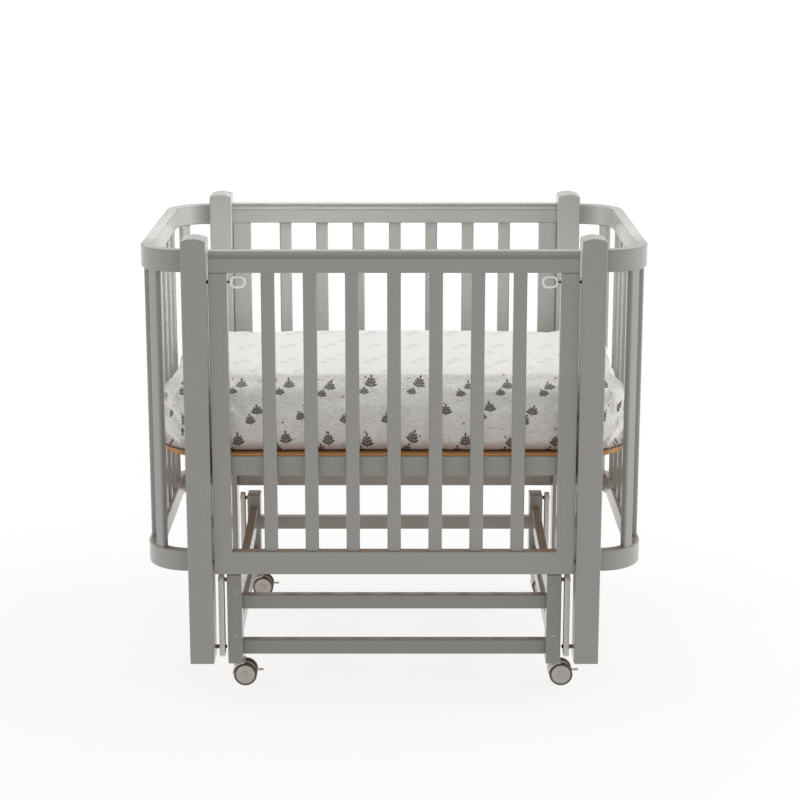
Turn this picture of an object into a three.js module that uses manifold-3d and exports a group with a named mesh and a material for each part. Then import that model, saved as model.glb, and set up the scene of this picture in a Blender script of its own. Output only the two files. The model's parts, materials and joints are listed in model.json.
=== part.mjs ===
// A pendulum crib: a slatted crib that hangs from four links on an under-frame with swivel casters.
// Millimetres, +Z up. X runs along the crib, the front faces -Y and the wheels stand on Z = 0.

import * as THREE from 'three';
import { mergeVertices } from 'three/addons/utils/BufferGeometryUtils.js';
import Module from 'manifold-3d';

// Clearances
const SEAT = 0.3; // between a piece and what carries it
const OVERRUN = 6; // how far a cutting solid runs past the face that it cuts
const TENON = 4; // how far a slat runs into a rail that it is glued into

// Drop-side panel and fixed rear panel
const PANEL_WIDTH = 668;
const PANEL_HEIGHT = 610;
const PANEL_THICK = 20;
const PANEL_SIDE_CLEAR = 2.7; // running clearance of the drop side beside each post
const PANEL_SETBACK = 10; // from the posts' outer face to the panel's outer face
const PANEL_OVER_LEGS = 9; // height of the panel's lower edge over the legs
const STILE_WIDTH = 34;
const TOP_RAIL_HEIGHT = 40;
const BOTTOM_RAIL_HEIGHT = 44;
const COVE_TOP = 1.5; // flat edge over the cove of the top rail
const COVE_HEIGHT = 9;
const COVE_DEPTH = 2.4;
const GROOVE_DROP = 1.6; // flat band between the cove and the groove under it
const GROOVE_WIDTH = 1.4;
const GROOVE_DEPTH = 1.4;
const SLAT_COUNT = 7;
const SLAT_PITCH_SHARE = 0.1265; // slat pitch, of the clear width between the stiles
const SLAT_WIDTH = 25;
const SLAT_THICK = 12;
const SLAT_EDGE = 4;
const EDGE = 1.5; // eased edge of rails, stiles, links and bearers

// Posts
const POST_WIDTH = 45;
const POST_DEPTH = 55;
const POST_FOOT = 61; // height of the post's lower end over the floor
const POST_OVER_PANEL = 23.5; // from the panel's upper edge to the top of the post's arch
const POST_ARCH = 5.5;
const POST_EDGE = 2;
const CRIB_DEPTH = 590;

// Bent ends
const BENT_THICK = 20;
const BENT_UPPER_HEIGHT = 41;
const BENT_LOWER_HEIGHT = 40;
const BENT_LOWER_RISE = 2; // lower rail over the panel's lower edge
const BENT_RADIUS = 80; // outer radius of the corner
const BENT_STUB = 3.3; // straight run between the post and the corner
const BENT_SETBACK = 22; // from the posts' outer face to the rail's outer face
const BENT_EDGE = 2.5;
const END_SLAT_WIDTH = 23;
const END_SLAT_THICK = 13;
const END_SLAT_PITCH = 71.5;
const END_SLAT_COUNT = 6; // on the straight run; each corner holds one more

// Deck and its bearers
const DECK_THICK = 10;
const DECK_RISE = 213; // from the panel's lower edge to the deck's underside
const DECK_RADIUS = 90;
const DECK_EDGE = 1;
const DECK_END_CLEAR = 11.5; // to the inner face of the end slats
const DECK_SIDE_CLEAR = 2; // to the inner face of the posts
const BEARER_HEIGHT = 37;
const BEARER_THICK = 22;
const BEARER_CLEAR = 3; // to the inner face of the panel
const BEARER_REBATE = 9; // depth of the step that takes the deck
const LEDGE_WIDTH = 14;

// Mattress
const MATTRESS_HEIGHT = 130;
const MATTRESS_CROWN = 4;
const MATTRESS_INSET = 1; // from the deck's ends
const MATTRESS_SIDE_INSET = 2; // from the deck's sides
const MATTRESS_RADIUS = 70;
const MATTRESS_PULL = 3; // how far a side draws in between its corners
const MATTRESS_SEAM_PULL = 3; // how far a side draws in towards its lower edge

// Under-frame
const LEG_WIDTH = 27.5;
const LEG_DEPTH = 40;
const LEG_HEIGHT = 177;
const LEG_CLEAR = 2; // between the leg and the panel's inner face
const RAIL_THICK = 18;
const RAIL_INSET = 1; // from the leg's inner face
const UPPER_RAIL_HEIGHT = 27;
const UPPER_RAIL_RISE = 102; // over the leg's lower end
const LOWER_RAIL_HEIGHT = 28;
const LOWER_RAIL_RISE = 11;
const SIDE_BAR_THICK = 17;
const UPPER_BAR_HEIGHT = 34;
const UPPER_BAR_RISE = 117;
const UPPER_BAR_SAG = 15;
const LOWER_BAR_HEIGHT = 31;
const LOWER_BAR_RISE = 30;

// Pendulum links and their pins
const LINK_THICK = 10;
const LINK_WIDTH = 24;
const LINK_FOOT = 17; // how far the link runs on under its lower pivot
const LINK_CORNER = 5; // of the link's lower end
const LINK_TO_POST = 7;
const LINK_TO_LEG = 6.2;
const LOWER_PIVOT_RISE = 18; // over the post's lower end
const UPPER_PIVOT_DROP = 13.3; // under the leg's upper end
const PIVOT_INSET = 11; // from the post's inner face
const PIN_RADIUS = 3.2;
const PIN_CLEAR = 0.3;
const PIN_DEPTH = 20; // how far a pin runs into the leg or the post
const COLLAR_RADIUS = 3.9;
const HEAD_RADIUS = 4.6;
const LOWER_HEAD_THICK = 2.8;
const UPPER_HEAD_THICK = 1;

// Release pins with pull rings, and the guide pins of the drop side
const RING_WIDTH = 29.5;
const RING_HEIGHT = 23;
const RING_WIRE = 3.4;
const RING_CORNER = 8.5;
const RING_EDGE = 1;
const RING_FROM_STILE = 4;
const RELEASE_DROP = 58; // pin's height under the panel's upper edge
const RELEASE_RADIUS = 3.5;
const GUIDE_RADIUS = 4;
const GUIDE_RISE = 20; // guide pin's height over the panel's lower edge
const TRACK_DEPTH = 8.3;
const TRACK_WIDTH = 9;
const DROP_TRAVEL = 150;
const TRACK_SPARE = 6; // track past each pin's last place

// Casters
const WHEEL_RADIUS = 22;
const WHEEL_WIDTH = 13;
const WHEEL_GAP = 10; // between the two wheels of a pair
const WHEEL_TREAD_EDGE = 2;
const HUB_RADIUS = 18.5;
const HUB_DISH = 1.2;
const AXLE_RADIUS = 2.5;
const CASTER_TRAIL = 16.8; // from the stem's axis to the axle
const CASTER_HEIGHT = 48.7; // from the floor to the top of the flange
const STEM_RADIUS = 4;
const STEM_LENGTH = 25;
const STEM_INSET = 12; // from the leg's inner face to the stem
const FLANGE_RADIUS = 11;
const FLANGE_THICK = 2.4;
const NECK_RADIUS = 8.5;
const WEB_THICK = 7.4;
const WEB_RADIUS = 19.5;
const HOOD_GAP = 1;
const HOOD_THICK = 1.6;
const LEVER_PIVOT_X = 12; // from the axle
const LEVER_PIVOT_Z = 4;
const LEVER_BOSS_RADIUS = 3.6;
const LEVER_THICK = 4;
const LEVER_REACH = 34;
const PEDAL_START = 25.5;
const PEDAL_WIDTH = 14;
const PEDAL_EDGE = 1.2;
const LEVER_ROOM = 9; // free height under the lever in the web

// Mesh fineness
const ARC_STEPS = 1;
const COVE_STEPS = 4;
const ARCH_STEPS = 3;
const FINE_ARC_STEPS = 5;
const BEVEL_STEPS = 1;
const ROD_SIDES = 16;
const WHEEL_SIDES = 24;
const HOOD_STEPS = 4;
const MATTRESS_CORNER_STEPS = 8;
const MATTRESS_SIDE_STEPS = 8;

// Places that follow from the sizes
const POST_IN = PANEL_WIDTH / 2 + PANEL_SIDE_CLEAR;
const POST_OUT = POST_IN + POST_WIDTH;
const POST_FRONT = CRIB_DEPTH / 2;
const POST_BACK = POST_FRONT - POST_DEPTH;
const PANEL_OUT = POST_FRONT - PANEL_SETBACK;
const PANEL_IN = PANEL_OUT - PANEL_THICK;
const PANEL_MID = (PANEL_OUT + PANEL_IN) / 2;
const LEG_BOTTOM = CASTER_HEIGHT + SEAT;
const LEG_TOP = LEG_BOTTOM + LEG_HEIGHT;
const PANEL_BOTTOM = LEG_TOP + PANEL_OVER_LEGS;
const PANEL_TOP = PANEL_BOTTOM + PANEL_HEIGHT;
const POST_TOP = PANEL_TOP + POST_OVER_PANEL;
const LINK_OUT = POST_IN - LINK_TO_POST;
const LINK_IN = LINK_OUT - LINK_THICK;
const LEG_OUT = LINK_IN - LINK_TO_LEG;
const LEG_IN = LEG_OUT - LEG_WIDTH;
const LEG_FRONT = PANEL_IN - LEG_CLEAR;
const LEG_BACK = LEG_FRONT - LEG_DEPTH;
const LEG_MID_X = (LEG_OUT + LEG_IN) / 2;
const LEG_MID_Y = (LEG_FRONT + LEG_BACK) / 2;
const PIVOT_Y = POST_BACK + PIVOT_INSET;
const UPPER_PIVOT_Z = LEG_TOP - UPPER_PIVOT_DROP;
const LOWER_PIVOT_Z = POST_FOOT + LOWER_PIVOT_RISE;
const BENT_CENTRE_X = POST_OUT + BENT_STUB;
const BENT_OUT_Y = POST_FRONT - BENT_SETBACK;
const BENT_CENTRE_Y = BENT_OUT_Y - BENT_RADIUS;
const BENT_OUT_X = BENT_CENTRE_X + BENT_RADIUS;
const END_SLAT_X = BENT_OUT_X - BENT_THICK / 2;
const DECK_BOTTOM = PANEL_BOTTOM + DECK_RISE;
const DECK_TOP = DECK_BOTTOM + DECK_THICK;
const DECK_HALF_X = END_SLAT_X - END_SLAT_THICK / 2 - DECK_END_CLEAR;
const DECK_HALF_Y = POST_BACK - DECK_SIDE_CLEAR;
const RELEASE_Z = PANEL_TOP - RELEASE_DROP;
const GUIDE_Z = PANEL_BOTTOM + GUIDE_RISE;
const PIN_TIP_X = POST_IN + TRACK_DEPTH - SEAT;

const wasm = await Module();
wasm.setup();

// Finishes
const paint = finish(0x96958f, 0.55, 0);
const linkPaint = finish(0xaca8a1, 0.5, 0);
const plywood = finish(0xd7a266, 0.45, 0);
const cloth = finish(0xdcd9d3, 0.9, 0);
const darkSteel = finish(0x4a3f38, 0.4, 0.8);
const whitePlastic = finish(0xeeeeea, 0.35, 0);
const greyPlastic = finish(0xa8a49f, 0.45, 0);
const tyre = finish(0x57504b, 0.7, 0);

function finish(color, roughness, metalness) {
  return new THREE.MeshStandardMaterial({ color, roughness, metalness });
}

// A closed geometry as a solid that can be joined and cut.
function toSolid(geometry) {
  const bare = geometry.clone();
  bare.deleteAttribute('normal');
  bare.deleteAttribute('uv');
  const merged = mergeVertices(bare);
  return new wasm.Manifold(new wasm.Mesh({
    numProp: 3,
    vertProperties: new Float32Array(merged.attributes.position.array),
    triVerts: new Uint32Array(merged.index.array),
  }));
}

function toGeometry(solid) {
  const { vertProperties, triVerts } = solid.getMesh();
  const geometry = new THREE.BufferGeometry();
  geometry.setAttribute('position', new THREE.BufferAttribute(vertProperties, 3));
  geometry.setIndex(new THREE.BufferAttribute(triVerts, 1));
  geometry.computeVertexNormals();
  return geometry;
}

function join(...geometries) {
  return toGeometry(geometries.map(toSolid).reduce((whole, piece) => whole.add(piece)));
}

function cut(geometry, ...tools) {
  return toGeometry(tools.map(toSolid).reduce((whole, tool) => whole.subtract(tool), toSolid(geometry)));
}

// A rectangle with rounded corners, centred on its own origin.
function roundedRect(width, height, radius) {
  const x = width / 2 - radius;
  const y = height / 2 - radius;
  const quarter = Math.PI / 2;
  const shape = new THREE.Shape();
  shape.absarc(x, y, radius, 0, quarter);
  shape.absarc(-x, y, radius, quarter, 2 * quarter);
  shape.absarc(-x, -y, radius, 2 * quarter, 3 * quarter);
  shape.absarc(x, -y, radius, 3 * quarter, 4 * quarter);
  return shape;
}

// An outline extruded along an axis and centred on it. It lies in Y and Z along x, and in X and Z along y.
function prism(shape, length, axis, bevel = 0, curveSegments = ARC_STEPS) {
  const [x, y, z] = [new THREE.Vector3(1, 0, 0), new THREE.Vector3(0, 1, 0), new THREE.Vector3(0, 0, 1)];
  const turn = {
    x: new THREE.Matrix4().makeBasis(y, z, x),
    y: new THREE.Matrix4().makeBasis(x, z, y.clone().negate()),
    z: new THREE.Matrix4(),
  };
  const geometry = new THREE.ExtrudeGeometry(shape, {
    depth: length - 2 * bevel,
    curveSegments,
    bevelEnabled: bevel > 0,
    bevelSize: bevel,
    bevelOffset: -bevel,
    bevelThickness: bevel,
    bevelSegments: BEVEL_STEPS,
  });
  return geometry.translate(0, 0, bevel - length / 2).applyMatrix4(turn[axis]);
}

// A straight round bar along an axis, from one place on it to another.
function rod(radius, from, to, axis, sides = ROD_SIDES) {
  const geometry = new THREE.CylinderGeometry(radius, radius, Math.abs(to - from), sides);
  geometry.translate(0, (from + to) / 2, 0);
  if (axis === 'x') geometry.rotateZ(-Math.PI / 2);
  if (axis === 'z') geometry.rotateX(Math.PI / 2);
  return geometry;
}

function block(from, to) {
  const size = to.map((v, i) => Math.abs(v - from[i]));
  return new THREE.BoxGeometry(...size).translate(...to.map((v, i) => (v + from[i]) / 2));
}

const crib = new THREE.Group();

function place(name, geometry, material, x, y, z) {
  const mesh = new THREE.Mesh(geometry, material);
  mesh.name = name;
  mesh.position.set(x, y, z);
  crib.add(mesh);
}

const SIDES = [['left', -1], ['right', 1]];
const ENDS = [['front', -1], ['rear', 1]];
const CORNERS = ENDS.flatMap(([end, sy]) => SIDES.map(([side, sx]) => [`${end}_${side}`, sx, sy]));

// Post

function postBlank() {
  const half = POST_WIDTH / 2;
  const height = POST_TOP - POST_FOOT;
  const radius = (half * half + POST_ARCH * POST_ARCH) / (2 * POST_ARCH);
  const spread = Math.asin(half / radius);
  const shape = new THREE.Shape();
  shape.moveTo(-half, 0);
  shape.lineTo(half, 0);
  shape.lineTo(half, height - POST_ARCH);
  shape.absarc(0, height - radius, radius, Math.PI / 2 - spread, Math.PI / 2 + spread);
  shape.lineTo(-half, 0);
  return prism(shape, POST_DEPTH, 'y', POST_EDGE, ARCH_STEPS);
}

// The bore takes the lower link pin; a front post also has the track that the drop side's pins run in.
function post(sx, sy) {
  const inner = -sx * POST_WIDTH / 2;
  const bore = rod(PIN_RADIUS + PIN_CLEAR, inner - sx * OVERRUN, inner + sx * (PIN_DEPTH + SEAT), 'x');
  bore.translate(0, sy * (PIVOT_Y - (POST_FRONT + POST_BACK) / 2), LOWER_PIVOT_Z - POST_FOOT);
  if (sy > 0) return cut(postBlank(), bore);
  const trackY = -PANEL_MID + (POST_FRONT + POST_BACK) / 2;
  const trackLow = GUIDE_Z - DROP_TRAVEL - GUIDE_RADIUS - TRACK_SPARE - POST_FOOT;
  const trackHigh = RELEASE_Z + RELEASE_RADIUS + TRACK_SPARE - POST_FOOT;
  const track = block(
    [inner - sx * OVERRUN, trackY - TRACK_WIDTH / 2, trackLow],
    [inner + sx * TRACK_DEPTH, trackY + TRACK_WIDTH / 2, trackHigh],
  );
  return cut(postBlank(), bore, track);
}

for (const [name, sx, sy] of CORNERS) {
  const x = sx * (POST_IN + POST_OUT) / 2;
  const y = sy * (POST_FRONT + POST_BACK) / 2;
  place(`post_${name}`, post(sx, sy), paint, x, y, POST_FOOT);
}

// Panels

// One half of the top rail's section, outer side, from its upper edge down to the main face.
function mouldedEdge(half, top) {
  const points = [[half, top], [half, top - COVE_TOP]];
  const steps = COVE_STEPS;
  for (let i = 1; i < steps; i += 1) {
    const turn = Math.PI * i / steps;
    points.push([
      half - COVE_DEPTH * Math.sin(turn),
      top - COVE_TOP - COVE_HEIGHT * (1 - Math.cos(turn)) / 2,
    ]);
  }
  const under = top - COVE_TOP - COVE_HEIGHT;
  points.push([half, under], [half, under - GROOVE_DROP]);
  points.push([half - GROOVE_DEPTH, under - GROOVE_DROP - GROOVE_WIDTH / 2]);
  points.push([half, under - GROOVE_DROP - GROOVE_WIDTH]);
  return points;
}

function topRail(length) {
  const half = PANEL_THICK / 2;
  const bottom = -TOP_RAIL_HEIGHT / 2;
  const down = mouldedEdge(half, TOP_RAIL_HEIGHT / 2);
  down.push([half, bottom + EDGE], [half - EDGE, bottom]);
  const outline = [...down, ...down.map(([y, z]) => [-y, z]).reverse()];
  const shape = new THREE.Shape(outline.map(([y, z]) => new THREE.Vector2(y, z)).reverse());
  return prism(shape, length, 'x');
}

function stile(width, height) {
  return prism(roundedRect(width, PANEL_THICK, EDGE), height, 'z');
}

function panelSlat(height) {
  return prism(roundedRect(SLAT_WIDTH, SLAT_THICK, SLAT_EDGE), height, 'z');
}

const SLAT_PITCH = (PANEL_WIDTH - 2 * STILE_WIDTH) * SLAT_PITCH_SHARE;
const SLAT_PLACES = Array.from({ length: SLAT_COUNT }, (_, i) => (i - (SLAT_COUNT - 1) / 2) * SLAT_PITCH);
const STILE_TOP = PANEL_TOP - TOP_RAIL_HEIGHT;
const RAIL_TOP = PANEL_BOTTOM + BOTTOM_RAIL_HEIGHT;
const SLAT_MID_Z = (STILE_TOP + RAIL_TOP) / 2;

// The drop side: separate rails, stiles and slats.
function dropStile(sx) {
  const height = STILE_TOP - SEAT - PANEL_BOTTOM;
  const half = STILE_WIDTH / 2;
  const bore = rod(RELEASE_RADIUS + PIN_CLEAR, -half - OVERRUN, half + OVERRUN, 'x');
  bore.translate(0, 0, RELEASE_Z - PANEL_BOTTOM - height / 2);
  const stileOut = PANEL_WIDTH / 2;
  const guide = rod(GUIDE_RADIUS, sx * (half - TENON), sx * (half + PIN_TIP_X - stileOut), 'x');
  guide.translate(0, 0, GUIDE_RISE - height / 2);
  return join(cut(stile(STILE_WIDTH, height), bore), guide);
}

const STILE_X = (PANEL_WIDTH - STILE_WIDTH) / 2;
for (const [side, sx] of SIDES) {
  const z = (STILE_TOP - SEAT + PANEL_BOTTOM) / 2;
  place(`drop_side_stile_${side}`, dropStile(sx), paint, sx * STILE_X, -PANEL_MID, z);
}
place('drop_side_top_rail', topRail(PANEL_WIDTH), paint, 0, -PANEL_MID, PANEL_TOP - TOP_RAIL_HEIGHT / 2);
const BOTTOM_RAIL_LENGTH = PANEL_WIDTH - 2 * STILE_WIDTH - 2 * SEAT;
const bottomRail = prism(roundedRect(PANEL_THICK, BOTTOM_RAIL_HEIGHT, EDGE), BOTTOM_RAIL_LENGTH, 'x');
place('drop_side_bottom_rail', bottomRail, paint, 0, -PANEL_MID, PANEL_BOTTOM + BOTTOM_RAIL_HEIGHT / 2);
SLAT_PLACES.forEach((x, i) => {
  const slat = panelSlat(STILE_TOP - RAIL_TOP - 2 * SEAT);
  place(`drop_side_slat_${i + 1}`, slat, paint, x, -PANEL_MID, SLAT_MID_Z);
});

// The rear panel is glued up: rails, stiles and slats as one piece.
function rearPanel() {
  const width = 2 * (POST_IN - SEAT);
  const stileWidth = (width - PANEL_WIDTH) / 2 + STILE_WIDTH;
  const parts = [
    topRail(width).translate(0, 0, PANEL_TOP - TOP_RAIL_HEIGHT / 2),
    prism(roundedRect(PANEL_THICK, BOTTOM_RAIL_HEIGHT, EDGE), width - stileWidth, 'x')
      .translate(0, 0, PANEL_BOTTOM + BOTTOM_RAIL_HEIGHT / 2),
  ];
  for (const [, sx] of SIDES) {
    const height = STILE_TOP - PANEL_BOTTOM + TENON;
    const x = sx * (width - stileWidth) / 2;
    parts.push(stile(stileWidth, height).translate(x, 0, PANEL_BOTTOM + height / 2));
  }
  for (const x of SLAT_PLACES) {
    parts.push(panelSlat(STILE_TOP - RAIL_TOP + 2 * TENON).translate(x, 0, SLAT_MID_Z));
  }
  return join(...parts);
}
place('rear_panel', rearPanel(), paint, 0, PANEL_MID, 0);

// Bent ends

// The rail's plan, drawn for the right-hand end and run past the posts' outer faces, to be cut off there.
function bentPlan() {
  const inner = BENT_RADIUS - BENT_THICK;
  const stop = POST_OUT - OVERRUN;
  const shape = new THREE.Shape();
  const quarter = Math.PI / 2;
  shape.moveTo(stop, -BENT_OUT_Y);
  shape.absarc(BENT_CENTRE_X, -BENT_CENTRE_Y, BENT_RADIUS, -quarter, 0);
  shape.absarc(BENT_CENTRE_X, BENT_CENTRE_Y, BENT_RADIUS, 0, quarter);
  shape.lineTo(stop, BENT_OUT_Y);
  shape.lineTo(stop, BENT_OUT_Y - BENT_THICK);
  shape.absarc(BENT_CENTRE_X, BENT_CENTRE_Y, inner, quarter, 0, true);
  shape.absarc(BENT_CENTRE_X, -BENT_CENTRE_Y, inner, 0, -quarter, true);
  shape.lineTo(stop, -BENT_OUT_Y + BENT_THICK);
  return shape;
}

function bentRail(height) {
  const reach = BENT_OUT_Y + OVERRUN;
  const waste = block([POST_OUT - 2 * OVERRUN, -reach, -height], [POST_OUT + SEAT, reach, height]);
  return cut(prism(bentPlan(), height, 'z', BENT_EDGE, FINE_ARC_STEPS), waste);
}

function endSlat(height) {
  return prism(roundedRect(END_SLAT_THICK, END_SLAT_WIDTH, SLAT_EDGE), height, 'z');
}

function bentEnd() {
  const lower = PANEL_BOTTOM + BENT_LOWER_RISE;
  const upper = PANEL_TOP - BENT_UPPER_HEIGHT;
  const low = lower + BENT_LOWER_HEIGHT;
  const height = upper - low + 2 * TENON;
  const mid = (upper + low) / 2;
  const parts = [
    bentRail(BENT_LOWER_HEIGHT).translate(0, 0, lower + BENT_LOWER_HEIGHT / 2),
    bentRail(BENT_UPPER_HEIGHT).translate(0, 0, upper + BENT_UPPER_HEIGHT / 2),
  ];
  for (let i = 0; i < END_SLAT_COUNT; i += 1) {
    parts.push(endSlat(height).translate(END_SLAT_X, (i - (END_SLAT_COUNT - 1) / 2) * END_SLAT_PITCH, mid));
  }
  const reach = (BENT_RADIUS - BENT_THICK / 2) * Math.SQRT1_2;
  for (const sy of [-1, 1]) {
    const slat = endSlat(height).rotateZ(sy * Math.PI / 4);
    parts.push(slat.translate(BENT_CENTRE_X + reach, sy * (BENT_CENTRE_Y + reach), mid));
  }
  return join(...parts);
}

for (const [side, sx] of SIDES) {
  const geometry = bentEnd();
  if (sx < 0) geometry.rotateZ(Math.PI);
  place(`bent_end_${side}`, geometry, paint, 0, 0, 0);
}

// Deck, bearers and mattress

const deckPlan = roundedRect(2 * DECK_HALF_X, 2 * DECK_HALF_Y, DECK_RADIUS);
const deck = prism(deckPlan, DECK_THICK, 'z', DECK_EDGE, FINE_ARC_STEPS);
place('deck', deck, plywood, 0, 0, DECK_BOTTOM + DECK_THICK / 2);

// An angle-shaped bar: its ledge carries the deck and its lip stands in front of the deck's edge.
function bearer(sy) {
  const out = PANEL_IN - BEARER_CLEAR;
  const top = DECK_BOTTOM - SEAT + BEARER_REBATE;
  const bottom = top - BEARER_HEIGHT;
  const ledge = DECK_BOTTOM - SEAT;
  const shape = new THREE.Shape();
  shape.moveTo(sy * out, bottom);
  shape.lineTo(sy * out, top);
  shape.lineTo(sy * (out - BEARER_THICK), top);
  shape.lineTo(sy * (out - BEARER_THICK), ledge);
  shape.lineTo(sy * (out - BEARER_THICK - LEDGE_WIDTH), ledge);
  shape.lineTo(sy * (out - BEARER_THICK - LEDGE_WIDTH), bottom);
  return prism(shape, 2 * (POST_IN - SEAT), 'x');
}
for (const [end, sy] of ENDS) place(`deck_bearer_${end}`, bearer(sy), paint, 0, 0, 0);

// A point of the mattress's plan: a rounded rectangle whose sides draw in between the corners.
function mattressPlan(inset, pull) {
  const halfX = DECK_HALF_X - MATTRESS_INSET - inset;
  const halfY = DECK_HALF_Y - MATTRESS_SIDE_INSET - inset;
  const radius = MATTRESS_RADIUS * Math.min(halfY / (DECK_HALF_Y - MATTRESS_SIDE_INSET), 1);
  const points = [];
  const corners = [[1, 1], [-1, 1], [-1, -1], [1, -1]];
  corners.forEach(([cx, cy], k) => {
    for (let i = 0; i <= MATTRESS_CORNER_STEPS; i += 1) {
      const turn = Math.PI / 2 * (k + i / MATTRESS_CORNER_STEPS);
      points.push([
        cx * (halfX - radius) + radius * Math.cos(turn),
        cy * (halfY - radius) + radius * Math.sin(turn),
      ]);
    }
    const [nx, ny] = corners[(k + 1) % corners.length];
    const from = points[points.length - 1];
    const next = Math.PI / 2 * (k + 1);
    const to = [
      nx * (halfX - radius) + radius * Math.cos(next),
      ny * (halfY - radius) + radius * Math.sin(next),
    ];
    for (let i = 1; i < MATTRESS_SIDE_STEPS; i += 1) {
      const share = i / MATTRESS_SIDE_STEPS;
      const depth = pull * Math.sin(Math.PI * share);
      points.push([
        from[0] + (to[0] - from[0]) * share - depth * Math.cos(next),
        from[1] + (to[1] - from[1]) * share - depth * Math.sin(next),
      ]);
    }
  });
  return points;
}

// Rings of the mattress from its lower edge to the middle of its crown: inset, height and crown, as shares.
const RING_INSET_SHARES = [0.03, 0.008, 0.002, 0, 0, 0.009, 0.03, 0.064, 0.127, 0.3, 0.65];
const RING_HEIGHT_SHARES = [0, 0.04, 0.2, 0.5, 0.77, 0.86, 0.93, 0.97, 1, 1, 1];
const RING_CROWN_SHARES = [0, 0, 0, 0, 0, 0, 0, 0.1, 0.3, 0.7, 0.95];

function mattress() {
  const halfY = DECK_HALF_Y - MATTRESS_SIDE_INSET;
  const positions = [];
  RING_INSET_SHARES.forEach((inset, i) => {
    const height = RING_HEIGHT_SHARES[i];
    const seamPull = i === 0 ? 0 : MATTRESS_SEAM_PULL * (1 - height);
    const z = height * MATTRESS_HEIGHT + RING_CROWN_SHARES[i] * MATTRESS_CROWN;
    for (const [x, y] of mattressPlan(inset * halfY + seamPull, MATTRESS_PULL * (1 - inset))) {
      positions.push(x, y, z);
    }
  });
  const around = positions.length / 3 / RING_INSET_SHARES.length;
  const faces = [];
  for (let ring = 0; ring < RING_INSET_SHARES.length - 1; ring += 1) {
    for (let i = 0; i < around; i += 1) {
      const [a, b] = [ring * around + i, ring * around + (i + 1) % around];
      faces.push(a, b, b + around, a, b + around, a + around);
    }
  }
  const bottom = positions.length / 3;
  positions.push(0, 0, 0, 0, 0, MATTRESS_HEIGHT + MATTRESS_CROWN);
  const last = (RING_INSET_SHARES.length - 1) * around;
  for (let i = 0; i < around; i += 1) {
    const next = (i + 1) % around;
    faces.push(bottom, next, i, bottom + 1, last + i, last + next);
  }
  const geometry = new THREE.BufferGeometry();
  geometry.setAttribute('position', new THREE.Float32BufferAttribute(positions, 3));
  geometry.setIndex(faces);
  geometry.computeVertexNormals();
  return geometry;
}
place('mattress', mattress(), cloth, 0, 0, DECK_TOP + SEAT);

// Under-frame

// The leg's bores take the caster's stem from below and the upper link pin from the outer side.
function leg(sx, sy) {
  const blank = prism(roundedRect(LEG_WIDTH, LEG_DEPTH, EDGE), LEG_HEIGHT, 'z');
  blank.translate(0, 0, LEG_HEIGHT / 2);
  const stemBore = rod(STEM_RADIUS + PIN_CLEAR, -OVERRUN, STEM_LENGTH + SEAT, 'z');
  stemBore.translate(0, -sy * (LEG_DEPTH / 2 - STEM_INSET), 0);
  const outer = sx * LEG_WIDTH / 2;
  const pinBore = rod(PIN_RADIUS + PIN_CLEAR, outer + sx * OVERRUN, outer - sx * (PIN_DEPTH + SEAT), 'x');
  pinBore.translate(0, sy * (PIVOT_Y - LEG_MID_Y), UPPER_PIVOT_Z - LEG_BOTTOM);
  return cut(blank, stemBore, pinBore);
}
for (const [name, sx, sy] of CORNERS) {
  place(`leg_${name}`, leg(sx, sy), paint, sx * LEG_MID_X, sy * LEG_MID_Y, LEG_BOTTOM);
}

function frameRail(height) {
  return prism(roundedRect(RAIL_THICK, height, EDGE), 2 * (LEG_IN - SEAT), 'x').translate(0, 0, height / 2);
}
const RAIL_Y = LEG_BACK + RAIL_INSET + RAIL_THICK / 2;
for (const [end, sy] of ENDS) {
  const y = sy * RAIL_Y;
  place(`frame_rail_${end}_upper`, frameRail(UPPER_RAIL_HEIGHT), paint, 0, y, LEG_BOTTOM + UPPER_RAIL_RISE);
  place(`frame_rail_${end}_lower`, frameRail(LOWER_RAIL_HEIGHT), paint, 0, y, LEG_BOTTOM + LOWER_RAIL_RISE);
}

// A bar between the front and rear legs, whose two long edges sag alike.
function sideBar(height, sag) {
  const half = LEG_BACK - SEAT;
  const shape = new THREE.Shape();
  if (sag > 0) {
    const radius = (half * half + sag * sag) / (2 * sag);
    const spread = Math.asin(half / radius);
    const low = -Math.PI / 2;
    shape.absarc(0, radius - sag, radius, low - spread, low + spread);
    shape.absarc(0, radius - sag + height, radius, low + spread, low - spread, true);
  } else {
    shape.moveTo(-half, 0);
    shape.lineTo(half, 0);
    shape.lineTo(half, height);
    shape.lineTo(-half, height);
  }
  return prism(shape, SIDE_BAR_THICK, 'x', EDGE, FINE_ARC_STEPS);
}
for (const [side, sx] of SIDES) {
  const x = sx * LEG_MID_X;
  const upper = sideBar(UPPER_BAR_HEIGHT, UPPER_BAR_SAG);
  place(`side_bar_${side}_upper`, upper, paint, x, 0, LEG_BOTTOM + UPPER_BAR_RISE);
  place(`side_bar_${side}_lower`, sideBar(LOWER_BAR_HEIGHT, 0), paint, x, 0, LEG_BOTTOM + LOWER_BAR_RISE);
}

// Pendulum links and pins

// A bar with a round upper end and a square lower end.
function link() {
  const half = LINK_WIDTH / 2;
  const low = LOWER_PIVOT_Z - LINK_FOOT + LINK_CORNER;
  const quarter = Math.PI / 2;
  const shape = new THREE.Shape();
  shape.absarc(0, UPPER_PIVOT_Z, half, 0, 2 * quarter);
  shape.absarc(LINK_CORNER - half, low, LINK_CORNER, 2 * quarter, 3 * quarter);
  shape.absarc(half - LINK_CORNER, low, LINK_CORNER, 3 * quarter, 4 * quarter);
  const bar = prism(shape, LINK_THICK, 'x', EDGE, FINE_ARC_STEPS);
  const bores = [LOWER_PIVOT_Z, UPPER_PIVOT_Z].map(
    (z) => rod(PIN_RADIUS + PIN_CLEAR, -LINK_THICK, LINK_THICK, 'x').translate(0, 0, z),
  );
  return cut(bar, ...bores);
}

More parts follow.
